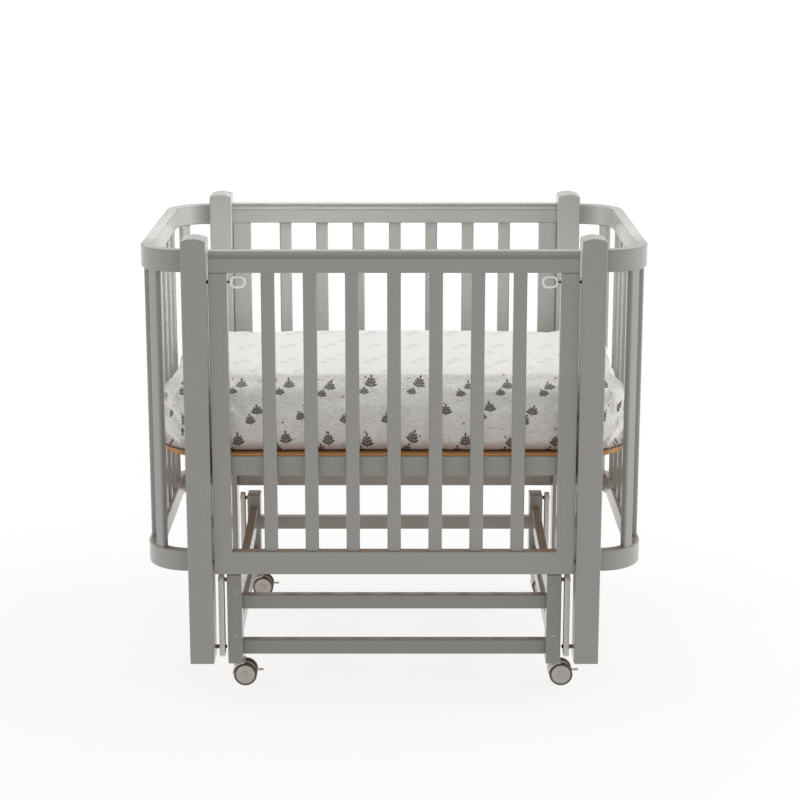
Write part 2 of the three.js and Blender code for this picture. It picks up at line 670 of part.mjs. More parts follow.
// A shouldered pin: its head lies past the link, its collar fills the space between the link and its seat.
function pin(outward, linkFace, seatFace, headThick) {
  const head = linkFace - outward * SEAT;
  const collarFrom = linkFace + outward * (LINK_THICK + SEAT);
  const collarTo = seatFace - outward * SEAT;
  return join(
    rod(PIN_RADIUS, head, seatFace + outward * PIN_DEPTH, 'x'),
    rod(HEAD_RADIUS, head - outward * headThick, head, 'x'),
    rod(COLLAR_RADIUS, collarFrom, collarTo, 'x'),
  );
}

for (const [name, sx, sy] of CORNERS) {
  place(`link_${name}`, link(), linkPaint, sx * (LINK_IN + LINK_OUT) / 2, sy * PIVOT_Y, 0);
  const upper = pin(-sx, sx * LINK_OUT, sx * LEG_OUT, UPPER_HEAD_THICK);
  const lower = pin(sx, sx * LINK_IN, sx * POST_IN, LOWER_HEAD_THICK);
  place(`upper_link_pin_${name}`, upper, darkSteel, 0, sy * PIVOT_Y, UPPER_PIVOT_Z);
  place(`lower_link_pin_${name}`, lower, darkSteel, 0, sy * PIVOT_Y, LOWER_PIVOT_Z);
}

// Release pins of the drop side

function releasePin(sx) {
  const ringOut = STILE_X - STILE_WIDTH / 2 - RING_FROM_STILE;
  const ring = roundedRect(RING_WIDTH, RING_HEIGHT, RING_CORNER);
  const hole = roundedRect(RING_WIDTH - 2 * RING_WIRE, RING_HEIGHT - 2 * RING_WIRE, RING_CORNER - RING_WIRE);
  ring.holes.push(hole);
  const loop = prism(ring, RING_WIRE, 'y', RING_EDGE).translate(sx * (ringOut - RING_WIDTH / 2), 0, 0);
  const shaft = rod(RELEASE_RADIUS, sx * (ringOut - RING_WIRE / 2), sx * PIN_TIP_X, 'x');
  return join(loop, shaft);
}
for (const [side, sx] of SIDES) {
  place(`release_pin_${side}`, releasePin(sx), whitePlastic, 0, -PANEL_MID, RELEASE_Z);
}

// Casters, each in a group at its stem's axis on the floor

const AXLE_Z = WHEEL_RADIUS;

function arcBand(inner, outer, from, to) {
  const shape = new THREE.Shape();
  shape.absarc(0, 0, outer, from, to);
  shape.absarc(0, 0, inner, to, from, true);
  return shape;
}

function casterHousing() {
  const across = WHEEL_GAP + 2 * WHEEL_WIDTH;
  const hoodIn = WHEEL_RADIUS + HOOD_GAP;
  const hood = prism(arcBand(hoodIn, hoodIn + HOOD_THICK, Math.PI / 2, Math.PI), across, 'y', 0, HOOD_STEPS);
  const disc = rod(WEB_RADIUS, -WEB_THICK / 2, WEB_THICK / 2, 'y', WHEEL_SIDES);
  const ribOut = hoodIn + HOOD_THICK / 2;
  const rib = block([-ribOut, -WEB_THICK / 2, 0], [0, WEB_THICK / 2, ribOut]);
  const ribRound = rod(ribOut, -WEB_THICK, WEB_THICK, 'y', WHEEL_SIDES);
  const web = toGeometry(toSolid(rib).intersect(toSolid(ribRound)));
  const neckLow = AXLE_Z + Math.sqrt(hoodIn * hoodIn - CASTER_TRAIL * CASTER_TRAIL);
  const neck = rod(NECK_RADIUS, neckLow, CASTER_HEIGHT - FLANGE_THICK / 2, 'z').translate(0, 0, -AXLE_Z);
  const clearWheels = rod(hoodIn, -across, across, 'y', WHEEL_SIDES);
  const parts = [hood, disc, web].map((piece) => piece.translate(CASTER_TRAIL, 0, AXLE_Z));
  const collar = cut(neck.translate(-CASTER_TRAIL, 0, 0), clearWheels).translate(CASTER_TRAIL, 0, AXLE_Z);
  const flange = rod(FLANGE_RADIUS, CASTER_HEIGHT - FLANGE_THICK, CASTER_HEIGHT, 'z');
  const stem = rod(STEM_RADIUS, CASTER_HEIGHT - FLANGE_THICK / 2, LEG_BOTTOM + STEM_LENGTH, 'z');
  const whole = join(...parts, collar, flange, stem);
  const axleBore = rod(AXLE_RADIUS + PIN_CLEAR, -across, across, 'y').translate(CASTER_TRAIL, 0, AXLE_Z);
  return cut(whole, axleBore, ...leverRoom());
}

// The web is open where the brake lever's boss sits and where its arm swings.
function leverRoom() {
  const x = CASTER_TRAIL + LEVER_PIVOT_X;
  const z = AXLE_Z + LEVER_PIVOT_Z;
  const seat = rod(LEVER_BOSS_RADIUS + PIN_CLEAR, -WEB_THICK, WEB_THICK, 'y').translate(x, 0, z);
  const sweep = block(
    [x, -WEB_THICK, z - LEVER_ROOM],
    [x + WEB_RADIUS, WEB_THICK, z + LEVER_THICK / 2 + SEAT],
  );
  return [seat, sweep];
}

function wheelPair() {
  const near = WHEEL_GAP / 2;
  const far = near + WHEEL_WIDTH;
  const half = [
    [AXLE_RADIUS, near],
    [WHEEL_RADIUS - WHEEL_TREAD_EDGE, near],
    [WHEEL_RADIUS, near + WHEEL_TREAD_EDGE],
    [WHEEL_RADIUS, far - WHEEL_TREAD_EDGE],
    [WHEEL_RADIUS - WHEEL_TREAD_EDGE, far],
    [HUB_RADIUS, far],
    [HUB_RADIUS - HUB_DISH, far - HUB_DISH],
    [0, far - HUB_DISH],
  ];
  const outline = [...half.map(([r, y]) => [r, -y]).reverse(), ...half];
  return new THREE.LatheGeometry(outline.map(([r, y]) => new THREE.Vector2(r, y)), WHEEL_SIDES);
}

function brakeLever() {
  const boss = rod(LEVER_BOSS_RADIUS, -WEB_THICK / 2, WEB_THICK / 2, 'y');
  const arm = block(
    [0, -WEB_THICK / 2, -LEVER_THICK / 2],
    [PEDAL_START - LEVER_PIVOT_X + PEDAL_EDGE, WEB_THICK / 2, LEVER_THICK / 2],
  );
  const reach = LEVER_REACH - PEDAL_START;
  const pedal = prism(roundedRect(reach, PEDAL_WIDTH, PEDAL_EDGE), LEVER_THICK, 'z');
  return join(boss, arm, pedal.translate(PEDAL_START - LEVER_PIVOT_X + reach / 2, 0, 0));
}

for (const [name, sx, sy] of CORNERS) {
  const [x, y] = [sx * LEG_MID_X, sy * (LEG_BACK + STEM_INSET)];
  place(`caster_housing_${name}`, casterHousing(), greyPlastic, x, y, 0);
  place(`caster_wheels_${name}`, wheelPair(), tyre, x + CASTER_TRAIL, y, AXLE_Z);
  const [leverX, leverZ] = [x + CASTER_TRAIL + LEVER_PIVOT_X, AXLE_Z + LEVER_PIVOT_Z];
  place(`brake_lever_${name}`, brakeLever(), greyPlastic, leverX, y, leverZ);
}

export default crib;
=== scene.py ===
"""The looks of a pendulum crib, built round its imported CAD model. Metres, +Z up, the front faces -Y."""

import json
import math

import bmesh
import bpy
from bpy.props import FloatProperty, FloatVectorProperty, IntProperty, PointerProperty
from mathutils import Matrix, Vector


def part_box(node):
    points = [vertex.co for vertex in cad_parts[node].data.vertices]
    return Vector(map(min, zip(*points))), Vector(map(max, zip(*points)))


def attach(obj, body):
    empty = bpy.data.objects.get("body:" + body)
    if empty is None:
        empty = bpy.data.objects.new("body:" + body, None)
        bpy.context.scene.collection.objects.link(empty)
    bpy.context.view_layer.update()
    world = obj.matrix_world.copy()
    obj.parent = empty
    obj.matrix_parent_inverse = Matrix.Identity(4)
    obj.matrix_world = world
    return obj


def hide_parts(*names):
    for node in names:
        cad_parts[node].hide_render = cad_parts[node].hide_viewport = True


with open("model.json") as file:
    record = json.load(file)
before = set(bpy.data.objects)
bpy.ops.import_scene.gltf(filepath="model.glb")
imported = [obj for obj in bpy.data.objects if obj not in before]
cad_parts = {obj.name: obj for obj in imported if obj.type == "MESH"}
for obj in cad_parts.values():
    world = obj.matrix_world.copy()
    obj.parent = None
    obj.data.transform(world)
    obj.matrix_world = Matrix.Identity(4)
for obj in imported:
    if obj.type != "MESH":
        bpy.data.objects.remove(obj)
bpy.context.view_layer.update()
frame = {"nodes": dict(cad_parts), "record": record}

bl_info = {
    "name": "Pendulum crib",
    "version": (1, 0, 0),
    "blender": (4, 5, 0),
    "location": "3D View > Sidebar > Crib",
    "description": "Builds a slatted pendulum crib on casters",
    "category": "Object",
}

BODY_OF = {node: body for body, nodes in frame["record"]["behaviour"]["bodies"].items() for node in nodes}
MM = 0.001
SIDES = (("left", -1), ("right", 1))
ENDS = (("front", -1), ("rear", 1))
CORNERS = [(f"{end}_{side}", sx, sy) for end, sy in ENDS for side, sx in SIDES]
X, Y, Z = range(3)


# Sizes and colours

def length(name, description, default):
    return FloatProperty(name=name, description=description, default=default, min=0.0, unit="LENGTH", precision=4)


def colour(name, description, default):
    return FloatVectorProperty(
        name=name, description=description, default=default, size=3, min=0.0, max=1.0, subtype="COLOR",
    )


class CribSizes(bpy.types.PropertyGroup):
    post_edge: length("Post edge", "Radius of the posts' eased edges", 0.002)
    rail_edge: length("Rail edge", "Radius of the eased edges of rails, stiles and legs", 0.0015)
    slat_edge: length("Slat edge", "Radius of the slats' long edges", 0.004)
    bent_edge: length("Bent edge", "Radius of the bent rails' edges", 0.0025)
    post_arch: length("Post arch", "Rise of the arch on top of a post", 0.0055)
    cove_depth: length("Cove depth", "Depth of the cove under the top rail's upper edge", 0.0024)
    cove_height: length("Cove height", "Height of the cove", 0.009)
    bent_radius: length("Bent radius", "Outer radius of the bent ends' corners", 0.08)
    deck_radius: length("Deck radius", "Radius of the deck's corners", 0.09)
    mattress_voxel: length("Mattress voxel", "Cell of the mattress before its cloth is blown up", 0.005)
    mattress_swell: length("Mattress swell", "The furthest that a point of the cover may move", 0.008)
    mattress_hem: length("Mattress hem", "Height in which the cover's lower edge is pressed on the deck", 0.009)
    mattress_foot: length("Mattress foot", "How far that edge is spread outwards", 0.008)
    edge_steps: IntProperty(name="Edge steps", description="Segments of an eased edge", default=3, min=1, max=8)


class CribColours(bpy.types.PropertyGroup):
    paint: colour("Paint", "Warm grey paint of the wood", (0.290, 0.284, 0.266))
    frame_paint: colour("Frame paint", "Slightly darker grey of the under-frame", (0.243, 0.238, 0.223))
    link_paint: colour("Link paint", "Paler paint of the pendulum links", (0.45, 0.425, 0.395))
    veneer: colour("Veneer", "Birch face of the deck", (0.71, 0.335, 0.108))
    veneer_dark: colour("Veneer, dark", "Dark plies on the deck's edge", (0.33, 0.155, 0.052))
    cover: colour("Cover", "Heathered cloth of the mattress", (0.9, 0.885, 0.86))
    # also the painted shade in the cover's folds
    cover_fleck_and_fold_shade: colour("Cover fleck and fold shade", "Darker fibres in the cloth", (0.37, 0.35, 0.33))
    # painted shade and painted bounce light from the deck, at the cover's lower edge
    cover_painted_shade: colour("Cover painted shade", "Cloth in the deck's warm shade, at the lower edge", (0.32, 0.19, 0.12))
    # painted contact shadow along the cover's lower edge
    cover_contact_shadow: colour("Painted contact shadow", "Dark line along the cover's lower edge", (0.035, 0.02, 0.014))
    print_dark: colour("Print", "Leaf sprigs of the print", (0.075, 0.062, 0.058))
    print_rust: colour("Print accent", "Small dots of the print", (0.36, 0.105, 0.045))
    pin_metal: colour("Pin metal", "Browned steel of the link pins", (0.15, 0.11, 0.09))
    pin_black: colour("Pin black", "Black cap nuts and release pins", (0.018, 0.017, 0.016))
    bolt_metal: colour("Bolt metal", "Dull bolt heads on the legs", (0.42, 0.41, 0.39))
    ring_white: colour("Pull ring", "White plastic of the release rings", (0.96, 0.96, 0.95))
    hub_grey: colour("Hub grey", "Grey plastic of the wheels' discs", (0.48, 0.445, 0.415))
    housing_grey: colour("Housing grey", "Pale plastic of the casters' housings", (0.70, 0.665, 0.635))
    tyre: colour("Tyre", "Brown-grey rubber of the wheels", (0.085, 0.062, 0.050))


def sizes():
    return bpy.context.scene.crib_sizes


def colours():
    return bpy.context.scene.crib_colours


# Materials

def shader_of(name, roughness, metallic=0.0):
    """A new material with a Principled shader, and its node tree."""
    material = bpy.data.materials.new(name)
    material.use_nodes = True
    shader = material.node_tree.nodes["Principled BSDF"]
    shader.inputs["Roughness"].default_value = roughness
    shader.inputs["Metallic"].default_value = metallic
    return material, material.node_tree, shader


def add(tree, kind, inputs=None, **settings):
    """Adds a node; an input is a number or another node's output."""
    made = tree.nodes.new("ShaderNode" + kind)
    for key, value in settings.items():
        setattr(made, key, value)
    for key, value in (inputs or {}).items():
        if isinstance(value, bpy.types.NodeSocket):
            tree.links.new(value, made.inputs[key])
        else:
            made.inputs[key].default_value = value
    return made


def math_of(tree, operation, first, second=0.0):
    return add(tree, "Math", {0: first, 1: second}, operation=operation).outputs[0]


def plus(tree, first, second):
    return math_of(tree, "ADD", first, second)


def minus(tree, first, second):
    return math_of(tree, "SUBTRACT", first, second)


def times(tree, first, second):
    return math_of(tree, "MULTIPLY", first, second)


def vector_of(tree, operation, first, second=(0.0, 0.0, 0.0)):
    made = add(tree, "VectorMath", {0: first, 1: second}, operation=operation)
    return made.outputs["Value" if operation == "LENGTH" else "Vector"]


def parts_of(tree, vector):
    """The X, Y and Z outputs of a vector."""
    return add(tree, "SeparateXYZ", {0: vector}).outputs


def object_place(tree):
    return add(tree, "TexCoord").outputs["Object"]


def mapped(tree, value, low, high, to_low, to_high):
    inputs = {"Value": value, "From Min": low, "From Max": high, "To Min": to_low, "To Max": to_high}
    return add(tree, "MapRange", inputs).outputs["Result"]


def mixed(tree, share, first, second):
    """A colour between two colours; each is an output or three numbers."""
    made = add(tree, "Mix", {0: share}, data_type="RGBA")
    for index, value in ((6, first), (7, second)):
        if isinstance(value, bpy.types.NodeSocket):
            tree.links.new(value, made.inputs[index])
        else:
            made.inputs[index].default_value = (*value, 1.0)
    return made.outputs[2]


def scaled(shade, share):
    return tuple(min(1.0, part * share) for part in shade)


def noise(tree, where, stretch, detail=2.0, roughness=0.5):
    at = add(tree, "Mapping", {"Vector": where, "Scale": stretch}).outputs[0]
    return add(tree, "TexNoise", {"Vector": at, "Scale": 1.0, "Detail": detail, "Roughness": roughness}).outputs[0]


def bump(tree, shader, height, distance, strength):
    made = add(tree, "Bump", {"Height": height, "Distance": distance, "Strength": strength})
    tree.links.new(made.outputs["Normal"], shader.inputs["Normal"])


def painted_wood(name, shade, stretch):
    """Satin paint over wood: a fine mottle, faint streaks along the grain and a trace of orange peel."""
    _, tree, shader = shader_of(name, 0.26)
    shader.inputs["Coat Weight"].default_value = 0.5
    shader.inputs["Coat Roughness"].default_value = 0.18
    where = object_place(tree)
    streaks = noise(tree, where, stretch, 3.0, 0.5)
    mottle = noise(tree, where, (260.0, 260.0, 260.0), 2.0, 0.6)
    share = mapped(tree, plus(tree, streaks, mottle), 0.6, 1.4, 0.0, 1.0)
    tree.links.new(mixed(tree, share, scaled(shade, 0.985), scaled(shade, 1.015)), shader.inputs["Base Color"])
    tree.links.new(mapped(tree, mottle, 0.2, 0.8, 0.24, 0.29), shader.inputs["Roughness"])
    bump(tree, shader, noise(tree, where, (620.0, 620.0, 620.0), 1.0), 0.00002, 0.4)


PLY = 0.00286  # thickness of one layer of the deck's plywood


def birch_ply(name):
    """Varnished birch: a streaked face, and plies by turns pale and dark on the edge."""
    shades = colours()
    _, tree, shader = shader_of(name, 0.38)
    shader.inputs["Coat Weight"].default_value = 0.25
    shader.inputs["Coat Roughness"].default_value = 0.2
    where = object_place(tree)
    grain = noise(tree, where, (7.0, 210.0, 210.0), 5.0, 0.62)
    streak = mapped(tree, grain, 0.3, 0.7, 0.0, 1.0)
    face = mixed(tree, streak, scaled(shades.veneer, 0.86), scaled(shades.veneer, 1.12))
    height = minus(tree, parts_of(tree, where)[2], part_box("deck")[0].z)
    layer = math_of(tree, "FRACT", math_of(tree, "DIVIDE", height, PLY))
    dark_ply = mapped(tree, math_of(tree, "PINGPONG", layer, 0.5), 0.2, 0.3, 0.0, 1.0)
    edge = mixed(tree, dark_ply, scaled(shades.veneer, 0.95), shades.veneer_dark)
    normal = add(tree, "NewGeometry").outputs["Normal"]
    on_face = mapped(tree, math_of(tree, "ABSOLUTE", parts_of(tree, normal)[2]), 0.6, 0.8, 0.0, 1.0)
    tree.links.new(mixed(tree, on_face, edge, face), shader.inputs["Base Color"])
    bump(tree, shader, grain, 0.0001, 0.5)


def metal(name, shade, roughness):
    """Steel with turning marks and a little staining."""
    _, tree, shader = shader_of(name, roughness, 1.0)
    where = object_place(tree)
    marks = noise(tree, where, (2600.0, 300.0, 300.0), 2.0)
    stain = noise(tree, where, (180.0, 180.0, 180.0), 3.0)
    share = mapped(tree, stain, 0.35, 0.65, 0.0, 1.0)
    tree.links.new(mixed(tree, share, scaled(shade, 0.8), scaled(shade, 1.15)), shader.inputs["Base Color"])
    tree.links.new(mapped(tree, marks, 0.3, 0.7, roughness * 0.85, roughness * 1.25), shader.inputs["Roughness"])
    bump(tree, shader, marks, 0.00004, 0.6)


def moulded(name, shade, roughness, grain=900.0):
    """Moulded plastic or rubber: a fine even texture and faint flow marks."""
    _, tree, shader = shader_of(name, roughness)
    where = object_place(tree)
    pores = noise(tree, where, (grain, grain, grain), 1.5)
    flow = noise(tree, where, (60.0, 60.0, 60.0), 2.0)
    share = mapped(tree, flow, 0.3, 0.7, 0.0, 1.0)
    tree.links.new(mixed(tree, share, scaled(shade, 0.94), scaled(shade, 1.05)), shader.inputs["Base Color"])
    tree.links.new(mapped(tree, pores, 0.3, 0.7, roughness * 0.9, roughness * 1.15), shader.inputs["Roughness"])
    bump(tree, shader, pores, 0.00005, 0.6)


def ellipse(tree, point, centre, turn, radii):
    """Distance share from an ellipse's centre: 1 on its rim."""
    inputs = {"Vector": point, "Location": (*centre, 0.0), "Rotation": (0.0, 0.0, turn), "Scale": (*radii, 1.0)}
    return vector_of(tree, "LENGTH", add(tree, "Mapping", inputs, vector_type="TEXTURE").outputs[0])


def scattered(tree, point, cell, shift, jitter, tilt):
    """A point's place in its own cell of a staggered grid, with a random place and tilt in each."""
    start = vector_of(tree, "ADD", point, (*shift, 0.0))
    row = math_of(tree, "FLOOR", math_of(tree, "DIVIDE", parts_of(tree, start)[1], cell[1]))
    stagger = times(tree, math_of(tree, "FLOORED_MODULO", row, 2.0), 0.5 * cell[0])
    start = vector_of(tree, "ADD", start, add(tree, "CombineXYZ", {0: stagger}).outputs[0])
    size = (*cell, 1.0)
    index = vector_of(tree, "FLOOR", vector_of(tree, "DIVIDE", start, size))
    chance = add(tree, "TexWhiteNoise", {"Vector": index}, noise_dimensions="3D").outputs["Color"]
    local = vector_of(tree, "SUBTRACT", start, vector_of(tree, "MULTIPLY", index, size))
    local = vector_of(tree, "SUBTRACT", local, (cell[0] / 2, cell[1] / 2, 0.0))
    offset = vector_of(tree, "MULTIPLY", vector_of(tree, "SUBTRACT", chance, (0.5, 0.5, 0.5)), (*jitter, 0.0))
    local = vector_of(tree, "SUBTRACT", local, offset)
    angle = times(tree, minus(tree, parts_of(tree, chance)[2], 0.5), tilt)
    return add(tree, "VectorRotate", {"Vector": local, "Angle": angle}, rotation_type="Z_AXIS").outputs[0]


def leaf_sprig(tree, point, size):
    """Ink of one sprig: a stem with paired leaves and a leaf at its tip."""
    parts = parts_of(tree, point)
    folded = add(tree, "CombineXYZ", {0: math_of(tree, "ABSOLUTE", parts[0]), 1: parts[1]}).outputs[0]
    shapes = [
        ellipse(tree, folded, (0.0, 0.0), 0.0, (0.05 * size, 0.5 * size)),
        ellipse(tree, folded, (0.22 * size, -0.2 * size), math.radians(26), (0.23 * size, 0.1 * size)),
        ellipse(tree, folded, (0.18 * size, 0.0), math.radians(32), (0.19 * size, 0.09 * size)),
        ellipse(tree, folded, (0.13 * size, 0.18 * size), math.radians(40), (0.15 * size, 0.078 * size)),
        ellipse(tree, folded, (0.0, 0.4 * size), 0.0, (0.075 * size, 0.15 * size)),
    ]
    nearest = shapes[0]
    for shape in shapes[1:]:
        nearest = math_of(tree, "MINIMUM", nearest, shape)
    return mapped(tree, nearest, 0.9, 1.12, 1.0, 0.0)


SPRIG_CELL = (0.084, 0.062)  # the print's repeat on the cloth


def printed(tree, cloth_place, ground, sheen_fade, fibres):
    """Two sizes of sprig and small rust dots, printed on the ground colour of the cloth."""
    shades = colours()
    wobble = times(tree, noise(tree, cloth_place, (420.0, 420.0, 420.0), 2.0), 0.0012)
    uneven = vector_of(tree, "ADD", cloth_place, add(tree, "CombineXYZ", {0: wobble}).outputs[0])
    large = leaf_sprig(tree, scattered(tree, uneven, SPRIG_CELL, (0.0, -0.014), (0.024, 0.012), 0.7), 0.027)
    small = leaf_sprig(tree, scattered(tree, uneven, SPRIG_CELL, (0.014, 0.007), (0.018, 0.010), 0.9), 0.023)
    # The print is broken up by the fibres and faded at grazing views by the painted sheen.
    worn_and_sheen_faded = times(tree, mapped(tree, fibres, 0.25, 0.6, 0.62, 1.0), sheen_fade)
    ink = times(tree, math_of(tree, "MAXIMUM", large, small), worn_and_sheen_faded)
    with_sprigs = mixed(tree, ink, ground, shades.print_dark)
    dots = scattered(tree, uneven, SPRIG_CELL, (0.05, 0.03), (0.03, 0.03), 2.5)
    spot = ellipse(tree, dots, (0.0, 0.0), 0.0, (0.0026, 0.0017))
    rust = times(tree, mapped(tree, spot, 0.8, 1.2, 1.0, 0.0), worn_and_sheen_faded)
    return mixed(tree, rust, with_sprigs, shades.print_rust)


def mattress_cloth(name):
    """Heathered jersey with a sparse print of leaf sprigs and dots, laid out over the unfolded cover; its colour
    also carries painted sheen, painted shade and a painted contact shadow.
    """
    shades = colours()
    _, tree, shader = shader_of(name, 0.9)
    shader.inputs["Sheen Weight"].default_value = 0.15
    shader.inputs["Sheen Roughness"].default_value = 0.4
    shader.inputs["Specular IOR Level"].default_value = 0.3
    where = add(tree, "UVMap", uv_map="cover").outputs[0]
    warp = noise(tree, where, (75.0, 330.0, 1.0), 4.0, 0.75)
    weft = noise(tree, where, (420.0, 150.0, 1.0), 4.0, 0.7)
    blotch = noise(tree, where, (45.0, 45.0, 1.0), 2.0)
    slubs = math_of(tree, "MAXIMUM", warp, weft)
    fleck = mapped(tree, plus(tree, slubs, times(tree, blotch, 0.15)), 0.61, 0.85, 0.0, 1.0)
    # The print and the flecks fade towards grazing views: painted sheen.
    sheen_fade = mapped(tree, add(tree, "LayerWeight", {"Blend": 0.5}).outputs["Facing"], 0.35, 0.7, 1.0, 0.18)
    ground = mixed(tree, times(tree, fleck, sheen_fade), shades.cover, shades.cover_fleck_and_fold_shade)
    height = minus(tree, parts_of(tree, object_place(tree))[2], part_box("mattress")[0].z)
    # The lowest 20 mm of the cover are darkened towards a warm brown: painted shade and painted bounce light from
    # the deck.
    ground = mixed(tree, mapped(tree, height, 0.0, 0.02, 0.75, 0.0), ground, shades.cover_painted_shade)
    fibres = noise(tree, where, (1500.0, 700.0, 1.0), 2.0, 0.6)
    dyed = printed(tree, where, ground, sheen_fade, fibres)
    # A dark line painted along the cover's lowest few millimetres: painted contact shadow where the cover meets
    # the deck.
    contact_shadow = mapped(tree, height, 0.002, 0.0055, 0.92, 0.0)
    with_contact_shadow = mixed(tree, contact_shadow, dyed, shades.cover_contact_shadow)
    tilt = parts_of(tree, add(tree, "NewGeometry").outputs["Normal"])[2]
    at_edge = mapped(tree, math_of(tree, "ABSOLUTE", minus(tree, tilt, 0.8)), 0.05, 0.28, 1.0, 0.0)
    gathers = noise(tree, where, (110.0, 330.0, 1.0), 4.0, 0.65)
    fold_shade = times(tree, mapped(tree, gathers, 0.56, 0.66, 0.0, 0.6), at_edge)
    # Where the cloth gathers at its rounded upper edge, its colour is darkened: painted shade in the folds,
    # besides their bump.
    tree.links.new(mixed(tree, fold_shade, with_contact_shadow, shades.cover_fleck_and_fold_shade), shader.inputs["Base Color"])
    knit = plus(tree, times(tree, slubs, 0.6), times(tree, fibres, 0.4))
    creases = noise(tree, where, (26.0, 60.0, 1.0), 3.0, 0.55)
    relief = plus(tree, times(tree, knit, 0.1), times(tree, creases, 0.7))
    relief = plus(tree, relief, times(tree, times(tree, gathers, at_edge), 1.1))
    bump(tree, shader, relief, 0.0045, 0.55)


GRAIN = {  # stretch of the streaks for each way that the wood runs
    "x": (6.0, 420.0, 420.0), "y": (420.0, 6.0, 420.0), "z": (420.0, 420.0, 6.0), "bent": (6.0, 6.0, 420.0),
}


def make_materials():
    """Makes every material of the crib; the pieces take theirs by name."""
    shades = colours()
    for way, stretch in GRAIN.items():
        painted_wood(f"paint_{way}", shades.paint, stretch)
    for way in "xyz":
        # The under-frame is painted a little darker than the rest of the crib.
        painted_wood(f"frame_paint_{way}", shades.frame_paint, GRAIN[way])
    painted_wood("link_paint", shades.link_paint, GRAIN["z"])
    birch_ply("birch_ply")
    mattress_cloth("mattress_cloth")
    metal("pin_steel", shades.pin_metal, 0.2)
    metal("pin_black", shades.pin_black, 0.3)
    metal("bolt_metal", shades.bolt_metal, 0.45)
    moulded("ring_white", shades.ring_white, 0.3)
    moulded("caster_grey", shades.hub_grey, 0.4)
    moulded("caster_pale", shades.housing_grey, 0.38)
    moulded("tyre_rubber", shades.tyre, 0.62, 500.0)


# Shapes

def corner(*millimetres):
    return Vector(millimetres) * MM


def in_mm(profile, way=1):
    """Pairs of radius and distance in millimetres, as metres; way turns the distances round."""
    return [(radius * MM, way * distance * MM) for radius, distance in profile]


def centre_of(node):
    low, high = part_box(node)
    return (low + high) / 2


SHARP_ANGLE = math.radians(34.0)


def finish_piece(name, bm, material, stands_for, body=None):
    """Makes the mesh an object in its place that rides on its body and stands for its CAD nodes."""
    bmesh.ops.remove_doubles(bm, verts=bm.verts, dist=1e-6)
    bmesh.ops.recalc_face_normals(bm, faces=bm.faces)
    mesh = bpy.data.meshes.new(name)
    bm.to_mesh(mesh)
    bm.free()
    mesh.shade_smooth()
    mesh.set_sharp_from_angle(angle=SHARP_ANGLE)
    mesh.materials.append(bpy.data.materials[material])
    piece = bpy.data.objects.new(name, mesh)
    bpy.context.scene.collection.objects.link(piece)
    weighted = piece.modifiers.new("Even shading", "WEIGHTED_NORMAL")
    weighted.keep_sharp = True
    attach(piece, body or BODY_OF[stands_for[0]])
    if stands_for:
        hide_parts(*stands_for)


def ease(bm, edges, radius, steps=None):
    bmesh.ops.bevel(
        bm, geom=list(edges), offset=radius, offset_type="OFFSET", segments=steps or sizes().edge_steps,
        profile=0.5, affect="EDGES", material=-1, clamp_overlap=True,
    )


def sharp_edges(bm, degrees=30.0):
    return [e for e in bm.edges if len(e.link_faces) == 2 and e.calc_face_angle() > math.radians(degrees)]


def along(edges, axis):
    return [e for e in edges if abs((e.verts[0].co - e.verts[1].co).normalized()[axis]) > 0.99]


def board(first, second, radius, way=None, steps=None):
    """A block between any two opposite corners with its edges eased, or only those that run one way."""
    low, high = Vector(map(min, first, second)), Vector(map(max, first, second))
    bm = bmesh.new()
    size = Matrix.Diagonal((*(high - low), 1.0))
    bmesh.ops.create_cube(bm, size=1.0, matrix=Matrix.Translation((low + high) / 2) @ size)
    ease(bm, bm.edges[:] if way is None else along(bm.edges, way), radius, steps)
    return bm


def outline_solid(points, sweep):
    """A flat outline drawn out into a solid."""
    bm = bmesh.new()
    face = bm.faces.new([bm.verts.new(point) for point in points])
    drawn = bmesh.ops.extrude_face_region(bm, geom=[face])["geom"]
    bmesh.ops.translate(bm, verts=[v for v in drawn if isinstance(v, bmesh.types.BMVert)], vec=sweep)
    bmesh.ops.recalc_face_normals(bm, faces=bm.faces)
    return bm


def drawn_out(bm, edges, vec):
    """Draws a loop of edges straight on; gives the new loop."""
    made = bmesh.ops.extrude_edge_only(bm, edges=edges)["geom"]
    bmesh.ops.translate(bm, verts=[g for g in made if isinstance(g, bmesh.types.BMVert)], vec=vec)
    return [g for g in made if isinstance(g, bmesh.types.BMEdge)]


def bent_round(bm, edges, centre, axis, steps):
    """Leads a loop of edges through a right angle round an axis; gives the new loop."""
    ends = list(dict.fromkeys(v for e in edges for v in e.verts))
    made = bmesh.ops.spin(
        bm, geom=ends + edges, cent=centre, axis=axis, dvec=(0.0, 0.0, 0.0),
        angle=math.pi / 2, steps=steps, use_merge=False, use_normal_flip=False, use_duplicate=False,
    )["geom_last"]
    return [g for g in made if isinstance(g, bmesh.types.BMEdge)]


def arc(centre, radius, start, end, steps):
    """Points of an arc in a plane, as pairs; angles in degrees."""
    turns = [math.radians(start + (end - start) * i / steps) for i in range(steps + 1)]
    return [(centre[0] + radius * math.cos(t), centre[1] + radius * math.sin(t)) for t in turns]


def turned(profile, centre, axis, steps=40):
    """A profile of (radius, distance along the axis) turned round an axis through a centre."""
    bm = bmesh.new()
    direction = Vector((0.0, 0.0, 0.0))
    direction[axis] = 1.0
    side = Vector((0.0, 0.0, 1.0)) if axis != Z else Vector((1.0, 0.0, 0.0))
    verts = [bm.verts.new(centre + side * radius + direction * way) for radius, way in profile]
    edges = [bm.edges.new(pair) for pair in zip(verts, verts[1:])]
    bmesh.ops.spin(
        bm, geom=verts + edges, cent=centre, axis=direction, dvec=(0.0, 0.0, 0.0),
        angle=math.tau, steps=steps, use_merge=True, use_normal_flip=False, use_duplicate=False,
    )
    bmesh.ops.remove_doubles(bm, verts=bm.verts, dist=1e-6)
    bmesh.ops.recalc_face_normals(bm, faces=bm.faces)
    return bm


